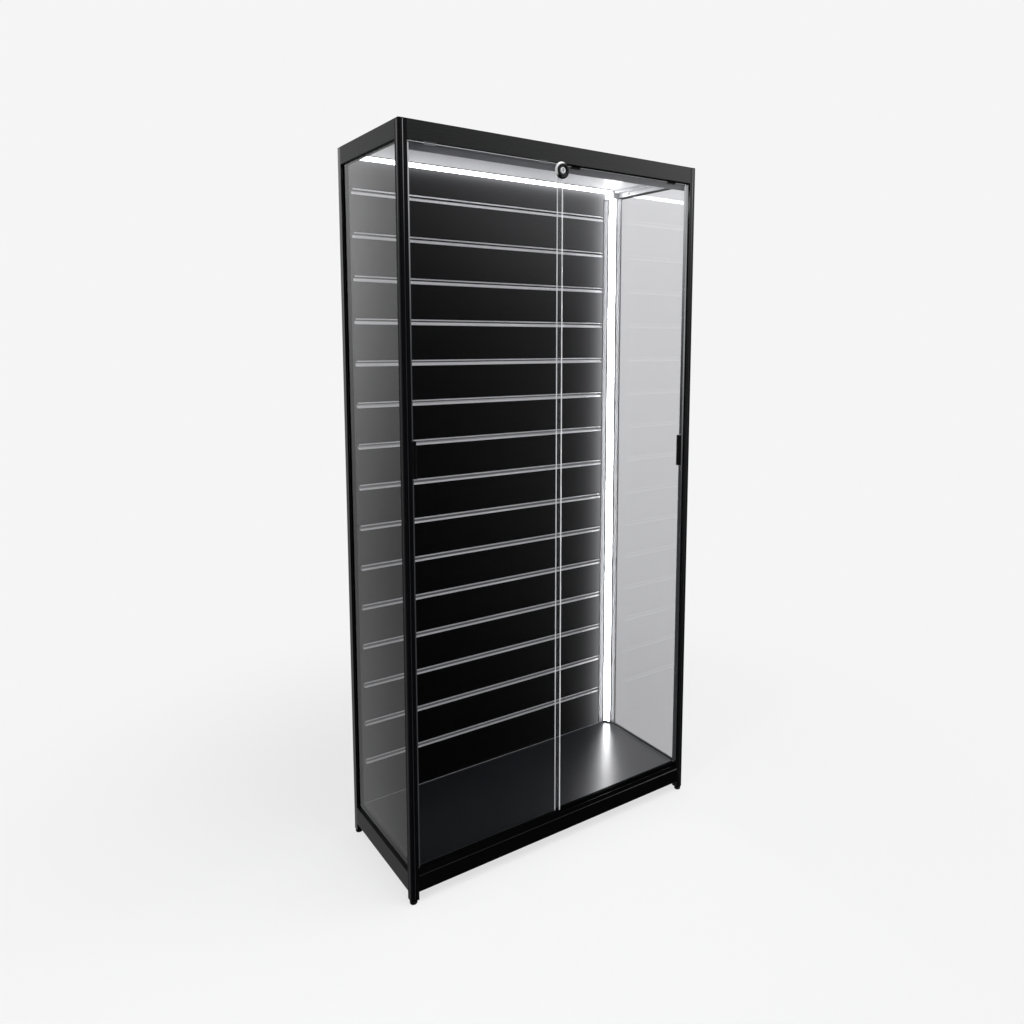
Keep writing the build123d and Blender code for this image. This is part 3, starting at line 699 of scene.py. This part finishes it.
# Colours read as sRGB from the photograph's neutral greys
POST_BLACK = "#08080a"
BASE_BLACK = "#070708"
# Painted light: a lighter black than the posts' for the fascias, lit from above.
FASCIA_BLACK = "#0b0c0d"
# Painted light: the track's grey is lifted to stand for light in the shade under the fascia.
TRACK_PAINTED_LIGHT_GREY = "#76777b"
BOARD_BLACK = "#060607"
DECK_BLACK = "#18191c"
PAPER = "#f5f5f5"

# Axis of the lock, across and upward
LOCK_CENTRE = (-14.0, 1914.0)

# Height of the upper lamp
TOP_LAMP_MM = 1954.0

# Painted light: spill of the corner lamp, then near and far spill of the upper lamp, on the
# slatwall
WALL_PAINTED_SPILLS = (
    PaintedSpill(Axis.X, 449.0, 44.0, 0.44),
    PaintedSpill(Axis.Z, TOP_LAMP_MM, 16.0, 0.28),
    PaintedSpill(Axis.Z, TOP_LAMP_MM, 330.0, 0.03),
)

POST_SKIN = AnodisedExtrusion("anodised_black_upright", POST_BLACK, 0.2, Axis.Z, 1.5, 1.14)
REAR_POST_SKIN = AnodisedExtrusion("anodised_black_rear_upright", POST_BLACK, 0.2, Axis.Z, 1.6)
CROSS_SKIN = AnodisedExtrusion("anodised_black_cross", BASE_BLACK, 0.3, Axis.X, 1.14)
SIDE_SKIN = AnodisedExtrusion("anodised_black_side", POST_BLACK, 0.3, Axis.Y, 1.3)
# Painted light and shade: the lifted grey stands for light, and above 1934 mm the track is painted
# black for shade.
TRACK_SKIN = AnodisedExtrusion(
    "anodised_track_painted_light_and_shade", TRACK_PAINTED_LIGHT_GREY, 0.38, Axis.X, 1.5, painted_shade_above_mm=1934.0
)
# Painted light: the fascias are lighter copies of the posts' black anodising, the side ones most,
# for light from above.
FASCIA_SKIN = AnodisedExtrusion("anodised_black_fascia", FASCIA_BLACK, 0.28, Axis.X, 1.62)
SIDE_FASCIA_SKIN = AnodisedExtrusion(
    "anodised_black_side_fascia", "#141516", 0.4, Axis.Y, 1.45, 1.27
)
LINER_SKIN = SlotLiner("satin_silver_liner_painted_light_and_shade", "#f0f0f1", 0.34, 174.8, 1866.7, 117.34)
# Painted light and shade: one satin aluminium in different greys, lighter on parts in the light and
# darker on parts in shade or beside a lamp's glare.
SILVER_CROSS = SatinSilver("satin_silver_cross", "#c9cacc", 0.36, Axis.X)
SILVER_UPRIGHT = SatinSilver("satin_silver_upright", "#67686a", 0.42, Axis.Z, 0.3)
SIDE_TRIM = SatinSilver("satin_silver_side_trim", "#7f8082", 0.42, Axis.Z, 0.2)
SIDE_DECK_TRIM = SatinSilver("satin_side_deck_trim", "#2c2d2e", 0.5, Axis.Y, 0.2)
REAR_TRIM = SatinSilver("satin_rear_trim", "#9a9b9d", 0.4, Axis.X, 0.2)
BRIGHT_SIDE = SatinSilver("bright_silver_side", "#e2e3e5", 0.3, Axis.Y, 0.3)
# Painted light: the slatwall glows beside the lamps.
SLAT_SKIN = LaminatedBoard(
    "melamine_black_slatwall",
    BOARD_BLACK,
    0.5,
    1.14,
    spills=WALL_PAINTED_SPILLS,
    spill_across=(0.45, 1.35),
    spill_upward=(0.62, 1.0),
)
DECK_SKIN = LaminatedBoard("melamine_black_deck", DECK_BLACK, 0.31, 1.42)
# Painted light: the ceiling glows in front of the upper lamp.
CEILING_SKIN = LaminatedBoard(
    "melamine_white_ceiling",
    "#c4c4c5",
    0.5,
    spills=(PaintedSpill(Axis.Y, 138.0, 150.0, 0.42),),
    spill_across=(1.0, 0.45),
    spill_face=Axis.Z,
)
BLACK_PLASTIC = MouldedPlastic("moulded_black_nylon", "#0c0c0d", 0.42)
RING_PLASTIC = MouldedPlastic("moulded_black_lock_ring", "#09090a", 0.3, 0.4, 0.008)
RUBBER = MouldedPlastic("moulded_black_rubber", "#0b0b0c", 0.62)
SHADOW_LINE_GREY = MouldedPlastic("moulded_grey_painted_shadow_line", "#4a4b4d", 0.5)
GREY_NYLON = MouldedPlastic("turned_grey_nylon", "#343536", 0.4)
GREY_PLASTIC = MouldedPlastic("moulded_grey_joint", "#cbccce", 0.45)
GUIDE_PLASTIC = ClearPlastic("clear_polycarbonate_guide", "#e2e2e4", 0.25)
# Painted light: the seals, felts, rail glints and post grooves glow, palest near the lamps.
EDGE_SEAL = LitSeal("clear_pvc_seal", "#2e2f31", "#b4b5b8")
STOP_FELT = LitSeal("pressed_grey_felt", "#2c2d2f", "#8f9092", (700.0, 1500.0))
RAIL_GLINT = LitSeal("painted_rail_edge_glint", "#252627", "#88898a", (-300.0, 520.0), Axis.X)
GROOVE_HIGHLIGHT = LitSeal("anodised_black_groove_painted_highlight", "#101113", "#88898b", (1500.0, 1990.0))
# Painted reflection: the flange is bright up and to the left, the key face bright within its
# radius.
FLANGE_CHROME = LockChrome("chrome_lock_flange", LOCK_CENTRE, None, 0.24)
KEY_CHROME = LockChrome("chrome_key_face", LOCK_CENTRE, 7.8, 0.28)
TURNED_STEEL = TurnedMetal("turned_steel", "#a9aaab", 0.24)
# Painted light: the ground edges glow, most on the doors; the rear door's top edge has no glow.
SIDE_PANE = FloatGlass("float_glass_side", Axis.X, "#f6f6f7", "#e9e9ea", "#9b9c9d", 0.02)
DOOR_PANE = FloatGlass("float_glass_door", Axis.Y, "#fafafb", "#f8f8f9", "#cfd0d1", 0.3)
REAR_DOOR_PANE = FloatGlass(
    "float_glass_rear_door", Axis.Y, "#fafafb", "#f8f8f9", "#cfd0d1", 0.3, False
)
TOP_LENS = OpalLens("opal_acrylic_lens_top", "#ffffff", 12.0)
CORNER_LENS = OpalLens("opal_acrylic_lens_corner", "#ffffff", 34.0)
FLOOR_PAPER = PaperFloor("paper_floor", PAPER)


# Making and dressing pieces

# Points closer than this become one, in metres
PIECE_WELD = 1e-6
TURNED_WELD = 1e-7


def dress(finish: Finish, *names: str) -> None:
    """Give CAD nodes a finish.

    Args:
        finish: The finish.
        *names: The nodes' names.
    """
    material = finish.material()
    for name in names:
        node = NODES[name]
        node.data.materials.clear()
        node.data.materials.append(material)
        log.info("dressed %s with %s", name, finish.name)


def new_piece(
    name: str, build: Callable[[bmesh.types.BMesh], None], finish: Finish, body: str
) -> None:
    """Make a mesh piece in place and fasten it to a body.

    Args:
        name: The piece's name.
        build: Fills the mesh, in metres, in the cabinet's frame.
        finish: The piece's finish.
        body: The body that it rides on.
    """
    mesh = bpy.data.meshes.new(name)
    bm = bmesh.new()
    build(bm)
    bmesh.ops.remove_doubles(bm, verts=bm.verts, dist=PIECE_WELD)
    bmesh.ops.recalc_face_normals(bm, faces=bm.faces)
    bm.to_mesh(mesh)
    bm.free()
    mesh.materials.append(finish.material())
    piece = bpy.data.objects.new(name, mesh)
    bpy.context.scene.collection.objects.link(piece)
    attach(piece, body)
    log.info("built %s", name)


def add_block(bm: bmesh.types.BMesh, low_mm: Corner, high_mm: Corner, soften_mm: float) -> None:
    """Add a block between two corners and round its edges.

    Args:
        bm: The mesh to fill.
        low_mm: The corner with the least X, Y and Z.
        high_mm: The corner with the greatest X, Y and Z.
        soften_mm: The radius on every edge.
    """
    low, high = Vector(low_mm) * MM, Vector(high_mm) * MM
    place = Matrix.Translation((low + high) / 2) @ Matrix.Diagonal((*(high - low), 1.0))
    corners = bmesh.ops.create_cube(bm, size=1.0, matrix=place)["verts"]
    edges = list({edge for corner in corners for edge in corner.link_edges})
    bmesh.ops.bevel(
        bm,
        geom=edges,
        offset=soften_mm * MM,
        segments=2,
        profile=0.5,
        affect="EDGES",
        material=-1,
    )


def add_turned(
    bm: bmesh.types.BMesh, outline_mm: Iterable[Pair], place: Matrix, steps: int
) -> None:
    """Turn an outline about its own axis and put it in place.

    Args:
        bm: The mesh to fill.
        outline_mm: Radius and height of each corner; both ends lie on the axis.
        place: Takes the turned shape's Z axis and origin to where it belongs.
        steps: The number of facets round it.
    """
    points = [bm.verts.new((radius * MM, 0.0, height * MM)) for radius, height in outline_mm]
    edges = [bm.edges.new(pair) for pair in zip(points, points[1:])]
    bmesh.ops.spin(
        bm,
        geom=points + edges,
        cent=(0.0, 0.0, 0.0),
        axis=(0.0, 0.0, 1.0),
        angle=math.tau,
        steps=steps,
        use_merge=True,
    )
    bmesh.ops.remove_doubles(bm, verts=bm.verts, dist=TURNED_WELD)
    turned = [vert for vert in bm.verts if not vert.tag]
    bmesh.ops.transform(bm, matrix=place, verts=turned)
    for vert in turned:
        vert.tag = True


def facing(point_mm: Corner, toward: Corner) -> Matrix:
    """The placement of a turned shape on a point, looking along a direction."""
    turn = Vector(toward).to_track_quat("Z", "Y").to_matrix().to_4x4()
    return Matrix.Translation(Vector(point_mm) * MM) @ turn


# Pan head of a small socket screw: radius and height of each corner of its outline
SOCKET_OUTLINE = ((0.0, 0.9), (1.2, 0.9), (1.2, 2.1), (2.2, 2.1))
DOME_OUTLINE = ((3.0, 1.6), (3.4, 0.9), (3.5, 0.3), (3.5, 0.0), (0.0, 0.0))
PAN_HEAD = SOCKET_OUTLINE + DOME_OUTLINE
HEAD_FACETS = 24


def add_screws(bm: bmesh.types.BMesh, points_mm: Iterable[Corner], toward: Corner) -> None:
    """Stand a pan head on each point."""
    for point in points_mm:
        add_turned(bm, PAN_HEAD, facing(point, toward), HEAD_FACETS)


@dataclass(frozen=True)
class Block:
    """A bar or strip with softened edges, between two corners in millimetres."""

    name: str
    low: Corner
    high: Corner
    finish: Finish
    soften: float = 0.3
    slot: str = "liner_aluminium"
    body: str = "cabinet"

    def build(self) -> None:
        """Cut the block and fasten it to its body."""
        shape = partial(add_block, low_mm=self.low, high_mm=self.high, soften_mm=self.soften)
        new_piece(self.name, shape, self.finish, self.body)


# Name, two corners and finish of a block
Strip = tuple[str, Corner, Corner, Finish]

# Sub-assemblies, in millimetres

# Outer faces of the frame, and half of a post's side
FRONT_FACE = -195.0
REAR_FACE = 205.0
SIDE_FACE = 480.0
POST_HALF = 11.0

# Planes of the two doors' panes
FRONT_PANE = -188.0
REAR_PANE = -179.0


@dataclass
class Carcass:
    """The frame of posts, rails and fascias, with its panels and feet."""

    corners: tuple[str, ...] = ("front_left", "front_right", "rear_left", "rear_right")
    groove_half: float = 0.8
    groove_sunk: float = 0.2
    groove_proud: float = 0.12
    groove_span: Pair = (16.0, 1977.0)
    groove_soften: float = 0.05
    lip_across: Pair = (457.0, 458.0)
    lip_along: Pair = (-163.0, 141.0)
    lip_upward: Pair = (1935.0, 1949.0)
    bearer_screws_along: Pair = (-89.5, 88.0)
    bearer_screws_height: float = 1941.5
    rear_screws_across: tuple[float, ...] = (-400.0, -200.0, 0.0, 200.0, 400.0)
    rear_screws_heights: Pair = (58.0, 1951.0)

    def build(self) -> None:
        """Dress the frame, the panels and the feet."""
        dress(POST_SKIN, "post_front_left", "post_front_right")
        dress(REAR_POST_SKIN, "post_rear_left", "post_rear_right")
        dress(CROSS_SKIN, "base_front", "base_rear")
        dress(SIDE_SKIN, "base_left", "base_right", "side_bead_left", "side_bead_right")
        dress(FASCIA_SKIN, "fascia_front", "fascia_rear")
        dress(SIDE_FASCIA_SKIN, "fascia_left", "fascia_right")
        dress(DECK_SKIN, "deck_panel", "roof_panel")
        dress(CEILING_SKIN, "ceiling_panel")
        dress(BRIGHT_SIDE, "ceiling_bearer_left", "ceiling_bearer_right")
        dress(BLACK_PLASTIC, "foot_plugs")
        dress(RUBBER, "cable_outlet", *(f"foot_pad_{corner}" for corner in self.corners))
        dress(TURNED_STEEL, *(f"foot_stud_{corner}" for corner in self.corners))
        new_piece("post_grooves", self.fill_grooves, GROOVE_HIGHLIGHT, "cabinet")
        new_piece(
            "bearer_screws", self.fill_bearer_screws, BLACK_PLASTIC, "cabinet"
        )
        new_piece("rear_rail_screws", self.fill_rear_screws, TURNED_STEEL, "cabinet")
        for side, sign in (("left", -1), ("right", 1)):
            left, right = sorted(sign * across for across in self.lip_across)
            low, high = zip((left, right), self.lip_along, self.lip_upward)
            Block(f"side_rail_lip_{side}", low, high, BRIGHT_SIDE).build()

    def fill_grooves(self, bm: bmesh.types.BMesh) -> None:
        """Draw the fine line down the middle of each post's two outward faces; its glow is a
        painted highlight, palest near the top.
        """
        bottom, top = self.groove_span
        half = self.groove_half
        soften = self.groove_soften
        for side in (-1, 1):
            for back, face in ((-1, FRONT_FACE), (1, REAR_FACE)):
                across = side * (SIDE_FACE - POST_HALF)
                along = face - back * POST_HALF
                near, far = self.groove_depths(face, back)
                left, right = self.groove_depths(side * SIDE_FACE, side)
                add_block(bm, (across - half, near, bottom), (across + half, far, top), soften)
                add_block(bm, (left, along - half, bottom), (right, along + half, top), soften)

    def groove_depths(self, face: float, outward: int) -> list[float]:
        """Where a groove's line starts and ends across an outward face."""
        return sorted((face - outward * self.groove_sunk, face + outward * self.groove_proud))

    def fill_bearer_screws(self, bm: bmesh.types.BMesh) -> None:
        """Set the button screws that hold the lips of the side rails."""
        for sign in (-1, 1):
            across = sign * self.lip_across[0]
            height = self.bearer_screws_height
            points = [(across, along, height) for along in self.bearer_screws_along]
            add_screws(bm, points, (-sign, 0.0, 0.0))

    def fill_rear_screws(self, bm: bmesh.types.BMesh) -> None:
        """Set the screws along the rear rails."""
        for height in self.rear_screws_heights:
            points = [(across, REAR_FACE, height) for across in self.rear_screws_across]
            add_screws(bm, points, (0.0, 1.0, 0.0))


@dataclass
class SlatwallBack:
    """The slatwall board, its slot liners and the trims round the deck."""

    trims: tuple[Strip, ...] = (
        ("deck_rear_trim", (-457.8, 172.6, 94.0), (418.0, 174.0, 95.4), REAR_TRIM),
        ("deck_left_trim", (-457.8, -172.0, 94.0), (-449.0, 172.4, 94.9), SIDE_DECK_TRIM),
        ("deck_right_trim", (449.0, -172.0, 94.0), (457.8, 123.0, 94.9), SIDE_DECK_TRIM),
    )
    trim_soften: float = 0.25

    def build(self) -> None:
        """Dress the board and its liners, and lay the trims."""
        dress(SLAT_SKIN, "slatwall_board")
        dress(LINER_SKIN, "slat_liners")
        for trim in self.trims:
            Block(*trim, self.trim_soften).build()


@dataclass
class SideGlazing:
    """The two glass sides in their rubber channels."""

    def build(self) -> None:
        """Dress the glass and the rubber."""
        dress(SIDE_PANE, "side_glass_left", "side_glass_right")
        dress(RUBBER, "side_gasket_left", "side_gasket_right")


@dataclass
class SlidingDoors:
    """Both doors with their shoes, rollers, guides, pulls and seals, and the tracks."""

    seal_span: Pair = (98.4, 1926.5)
    seal_half: float = 3.0
    seal_across: Pair = (452.7, 457.0)
    pull_half: float = 48.5
    left_pull: float = 1170.0
    right_pull: float = 1125.0
    strips: tuple[Strip, ...] = (
        # Painted highlights: glint strips along the tracks' edges; the jamb felts carry a painted
        # glow.
        ("front_track_painted_glint", (-457.8, -195.0, 75.9), (457.8, -194.45, 76.5), RAIL_GLINT),
        ("rear_track_painted_glint", (-457.8, -174.4, 91.0), (457.8, -172.6, 91.6), RAIL_GLINT),
        ("left_jamb_felt", (-457.9, -178.5, 100.0), (-457.35, -173.0, 1930.0), STOP_FELT),
        ("right_jamb_felt", (457.35, -187.5, 100.0), (457.9, -182.0, 1930.0), STOP_FELT),
    )
    strip_soften: float = 0.15

    def build(self) -> None:
        """Dress the doors and tracks, and lay the painted glint strips along the tracks and the
        felts on the jambs.
        """
        dress(CROSS_SKIN, "bottom_track", "left_door_shoe", "right_door_shoe")
        dress(TRACK_SKIN, "top_track")
        dress(RUBBER, "track_buffers")
        dress(DOOR_PANE, "left_door_glass")
        dress(REAR_DOOR_PANE, "right_door_glass")
        dress(GUIDE_PLASTIC, "left_door_guides")
        dress(BLACK_PLASTIC, "right_door_guides", "left_door_pull", "right_door_pull")
        for side in ("left", "right"):
            dress(GREY_NYLON, f"{side}_door_roller_1", f"{side}_door_roller_2")
        self.fit_seal("left", -1, FRONT_PANE, self.left_pull)
        self.fit_seal("right", 1, REAR_PANE, self.right_pull)
        for strip in self.strips:
            Block(*strip, self.strip_soften).build()

    def fit_seal(self, side: str, sign: int, plane: float, pull: float) -> None:
        """Clip the clear seal on a door's outer edge, above and below its pull."""
        bottom, top = self.seal_span
        left, right = sorted(sign * across for across in self.seal_across)
        lower, upper = (bottom, pull - self.pull_half), (pull + self.pull_half, top)
        for part, (low, high) in (("lower", lower), ("upper", upper)):
            Block(
                f"{side}_door_seal_{part}",
                (left, plane - self.seal_half, low),
                (right, plane + self.seal_half, high),
                EDGE_SEAL,
                slot="clear_glass",
                body=f"{side}_door",
            ).build()


@dataclass
class CylinderLock:
    """The lock at the upper inner corner of the front door."""

    slot_half: Pair = (1.3, 5.6)
    slot_depths: Pair = (-201.8, -200.4)
    slot_soften: float = 0.2
    mark_away: float = 4.4
    mark_half: Pair = (0.5, 2.4)
    mark_shift: float = 1.5
    mark_depths: Pair = (-201.7, -201.2)
    mark_soften: float = 0.15

    def build(self) -> None:
        """Dress the lock."""
        dress(FLANGE_CHROME, "lock_body")
        dress(RING_PLASTIC, "lock_ring")
        dress(KEY_CHROME, "lock_plug")
        new_piece(
            "lock_key_mouth", self.fill_key_mouth, BLACK_PLASTIC, "lock_plug"
        )
        dress(BLACK_PLASTIC, "lock_clamp")

    def fill_key_mouth(self, bm: bmesh.types.BMesh) -> None:
        """Line the key slot and stand two cut marks beside it."""
        across, upward = LOCK_CENTRE
        near, far = self.slot_depths
        wide, tall = self.slot_half
        low, high = (across - wide, near, upward - tall), (across + wide, far, upward + tall)
        add_block(bm, low, high, self.slot_soften)
        near, far = self.mark_depths
        wide, tall = self.mark_half
        for sign in (-1, 1):
            middle = across + sign * self.mark_away
            shift = sign * self.mark_shift
            low = (middle - wide, near, upward - tall + shift)
            high = (middle + wide, far, upward + tall + shift)
            add_block(bm, low, high, self.mark_soften)


@dataclass
class StripLamps:
    """The lamp channels, their lenses, the painted shadow lines beside them and a side trim."""

    shadow_lines_and_trim: tuple[Block, ...] = (
        # Painted shade: a grey and a black strip stand for the shadow gaps beside the lamps.
        Block(
            "top_lamp_painted_shadow_line",
            (-440.0, 135.9, 1954.4),
            (425.0, 137.95, 1956.9),
            SHADOW_LINE_GREY,
            0.15,
            "grey_plastic",
        ),
        Block(
            "corner_lamp_painted_shadow_line",
            (418.2, 171.6, 98.0),
            (420.6, 173.2, 1931.0),
            BLACK_PLASTIC,
            slot="black_plastic",
        ),
        Block("corner_lamp_side_trim", (455.9, 128.0, 100.5), (456.8, 150.5, 1930.5), SIDE_TRIM),
    )

    def build(self) -> None:
        """Dress the lamps and lay the painted shadow lines and the side trim."""
        dress(SILVER_CROSS, "top_lamp_channel")
        dress(SILVER_UPRIGHT, "corner_lamp_channel")
        dress(TOP_LENS, "top_lamp_lens")
        dress(CORNER_LENS, "corner_lamp_lens")
        dress(BLACK_PLASTIC, "corner_lamp_cap")
        dress(GREY_PLASTIC, "lamp_corner_block")
        for lamp_strip in self.shadow_lines_and_trim:
            lamp_strip.build()


# Studio and camera, in metres


@dataclass(frozen=True)
class SoftBox:
    """A soft studio lamp."""

    name: str
    place: Corner
    target: Corner
    size: Pair
    power: float
    mirrored: bool = True

    def build(self) -> None:
        """Hang the lamp and aim it."""
        data = bpy.data.lights.new(self.name, "AREA")
        data.shape = "RECTANGLE"
        data.size, data.size_y = self.size
        data.energy = self.power
        lamp = bpy.data.objects.new(self.name, data)
        bpy.context.scene.collection.objects.link(lamp)
        lamp.visible_camera = False
        lamp.visible_glossy = self.mirrored
        aim = Vector(self.target) - Vector(self.place)
        turn = aim.to_track_quat("-Z", "Y").to_matrix().to_4x4()
        lamp.matrix_world = Matrix.Translation(self.place) @ turn


@dataclass
class Studio:
    """A pale floor, a surround that mirrors as dark in front and pale behind, and soft lamps."""

    floor_side: float = 60.0
    fill_colour: str = "#ffffff"
    fill: float = 0.42
    sideways_share: float = 0.9

    # What the surround mirrors, by the direction that is looked in
    round_about: Fade = (-0.55, 0.4, 0.012, 0.8)
    left_upward: Fade = (-0.3, 0.26, 0.35, 0.9)
    left_bearing: Fade = (-0.45, -0.36, 1.0, 1.6)
    right_low: Fade = (-0.55, -0.05, 0.06, 0.5)
    right_high: Fade = (0.0, 0.24, 0.0, 2.8)
    to_right: Pair = (-0.1, 0.4)

    lamps: tuple[SoftBox, ...] = (
        SoftBox("key_overhead", (0.9, -1.5, 4.4), (0.0, 0.0, 1.2), (3.2, 2.4), 110.0),
        SoftBox("edge_strip", (-3.0, -1.3, 1.2), (-0.4, 0.0, 1.0), (0.5, 2.6), 60.0, False),
    )

    def build(self) -> None:
        """Set up the floor, the surround and the lamps."""
        self.lay_floor()
        self.paint_surround()
        for lamp in self.lamps:
            lamp.build()
        bpy.context.scene.view_settings.view_transform = "Standard"

    def lay_floor(self) -> None:
        """Lay a wide floor of paper that keeps a soft shadow under the cabinet."""
        mesh = bpy.data.meshes.new("floor")
        bm = bmesh.new()
        bmesh.ops.create_grid(bm, x_segments=1, y_segments=1, size=self.floor_side / 2)
        bm.to_mesh(mesh)
        bm.free()
        mesh.materials.append(FLOOR_PAPER.material())
        floor = bpy.data.objects.new("floor", mesh)
        bpy.context.scene.collection.objects.link(floor)
        floor.visible_glossy = False

    def paint_surround(self) -> None:
        """Paint the surround: paper to look at, and a turning shade for mirrored light."""
        world = bpy.data.worlds.new("studio")
        bpy.context.scene.world = world
        world.use_nodes = True
        tree = world.node_tree
        tree.nodes.clear()
        strength = self.mirrored_strength(tree)
        shade = plain(tree, "ShaderNodeBackground", PAPER, Strength=strength)
        soft = plain(tree, "ShaderNodeBackground", self.fill_colour, Strength=self.fill)
        paper = plain(tree, "ShaderNodeBackground", PAPER)
        is_glossy = add_node(tree, "ShaderNodeLightPath").outputs["Is Glossy Ray"]
        mirrored = mix_shaders(tree, is_glossy, soft, shade)
        final = mix_shaders(tree, seen_straight(tree), mirrored, paper)
        add_node(tree, "ShaderNodeOutputWorld", {"Surface": final})

    def mirrored_strength(self, tree: Tree) -> Socket:
        """How strongly each direction of the surround shows in what mirrors it."""
        way = add_node(tree, "ShaderNodeTexCoord").outputs["Generated"]
        parts = add_node(tree, "ShaderNodeSeparateXYZ", {"Vector": way}).outputs
        across, along, rise = parts["X"], parts["Y"], parts["Z"]
        turn = figure(tree, "MULTIPLY_ADD", across, self.sideways_share, along)
        bearing = figure(tree, "DIVIDE", across, along)
        left_rise = ramp(tree, rise, *self.left_upward)
        left_turn = ramp(tree, bearing, *self.left_bearing)
        left_side = figure(tree, "MULTIPLY", left_rise, left_turn)
        low, high = (ramp(tree, rise, *fade) for fade in (self.right_low, self.right_high))
        right_side = figure(tree, "ADD", low, high)
        pull = figure(tree, "SUBTRACT", right_side, left_side)
        to_right = ramp(tree, across, *self.to_right)
        falling = figure(tree, "MULTIPLY_ADD", pull, to_right, left_side)
        return figure(tree, "MULTIPLY", ramp(tree, turn, *self.round_about), falling)


@dataclass
class PhotoCamera:
    """The camera that took the photograph, from its fitted place, aim and lens."""

    place: Corner = (-1.28875, -1.99886, 1.47215)
    heading: float = 0.6222
    dip: float = 0.114
    lean: float = 0.0055
    lens_mm: float = 28.303
    sensor_mm: float = 36.0
    shift: Pair = (-0.05283, -0.08036)
    sight: float = 200.0

    def build(self) -> None:
        """Place the camera and make it the scene's own."""
        data = bpy.data.cameras.new("photo_camera")
        data.lens = self.lens_mm
        data.sensor_width = self.sensor_mm
        data.shift_x, data.shift_y = self.shift
        data.clip_end = self.sight
        camera = bpy.data.objects.new("photo_camera", data)
        bpy.context.scene.collection.objects.link(camera)
        turn = (
            Matrix.Rotation(-self.heading, 4, "Z")
            @ Matrix.Rotation(math.radians(90.0) - self.dip, 4, "X")
            @ Matrix.Rotation(self.lean, 4, "Z")
        )
        camera.matrix_world = Matrix.Translation(self.place) @ turn
        bpy.context.scene.camera = camera


def main() -> None:
    """Build every sub-assembly, then the studio and the camera."""
    logging.basicConfig(level=logging.INFO, format="%(name)s: %(message)s")
    for assembly in (
        Carcass(),
        SlatwallBack(),
        SideGlazing(),
        SlidingDoors(),
        CylinderLock(),
        StripLamps(),
        Studio(),
        PhotoCamera(),
    ):
        log.info("assembly %s", type(assembly).__name__)
        assembly.build()


if __name__ == "__main__":
    main()
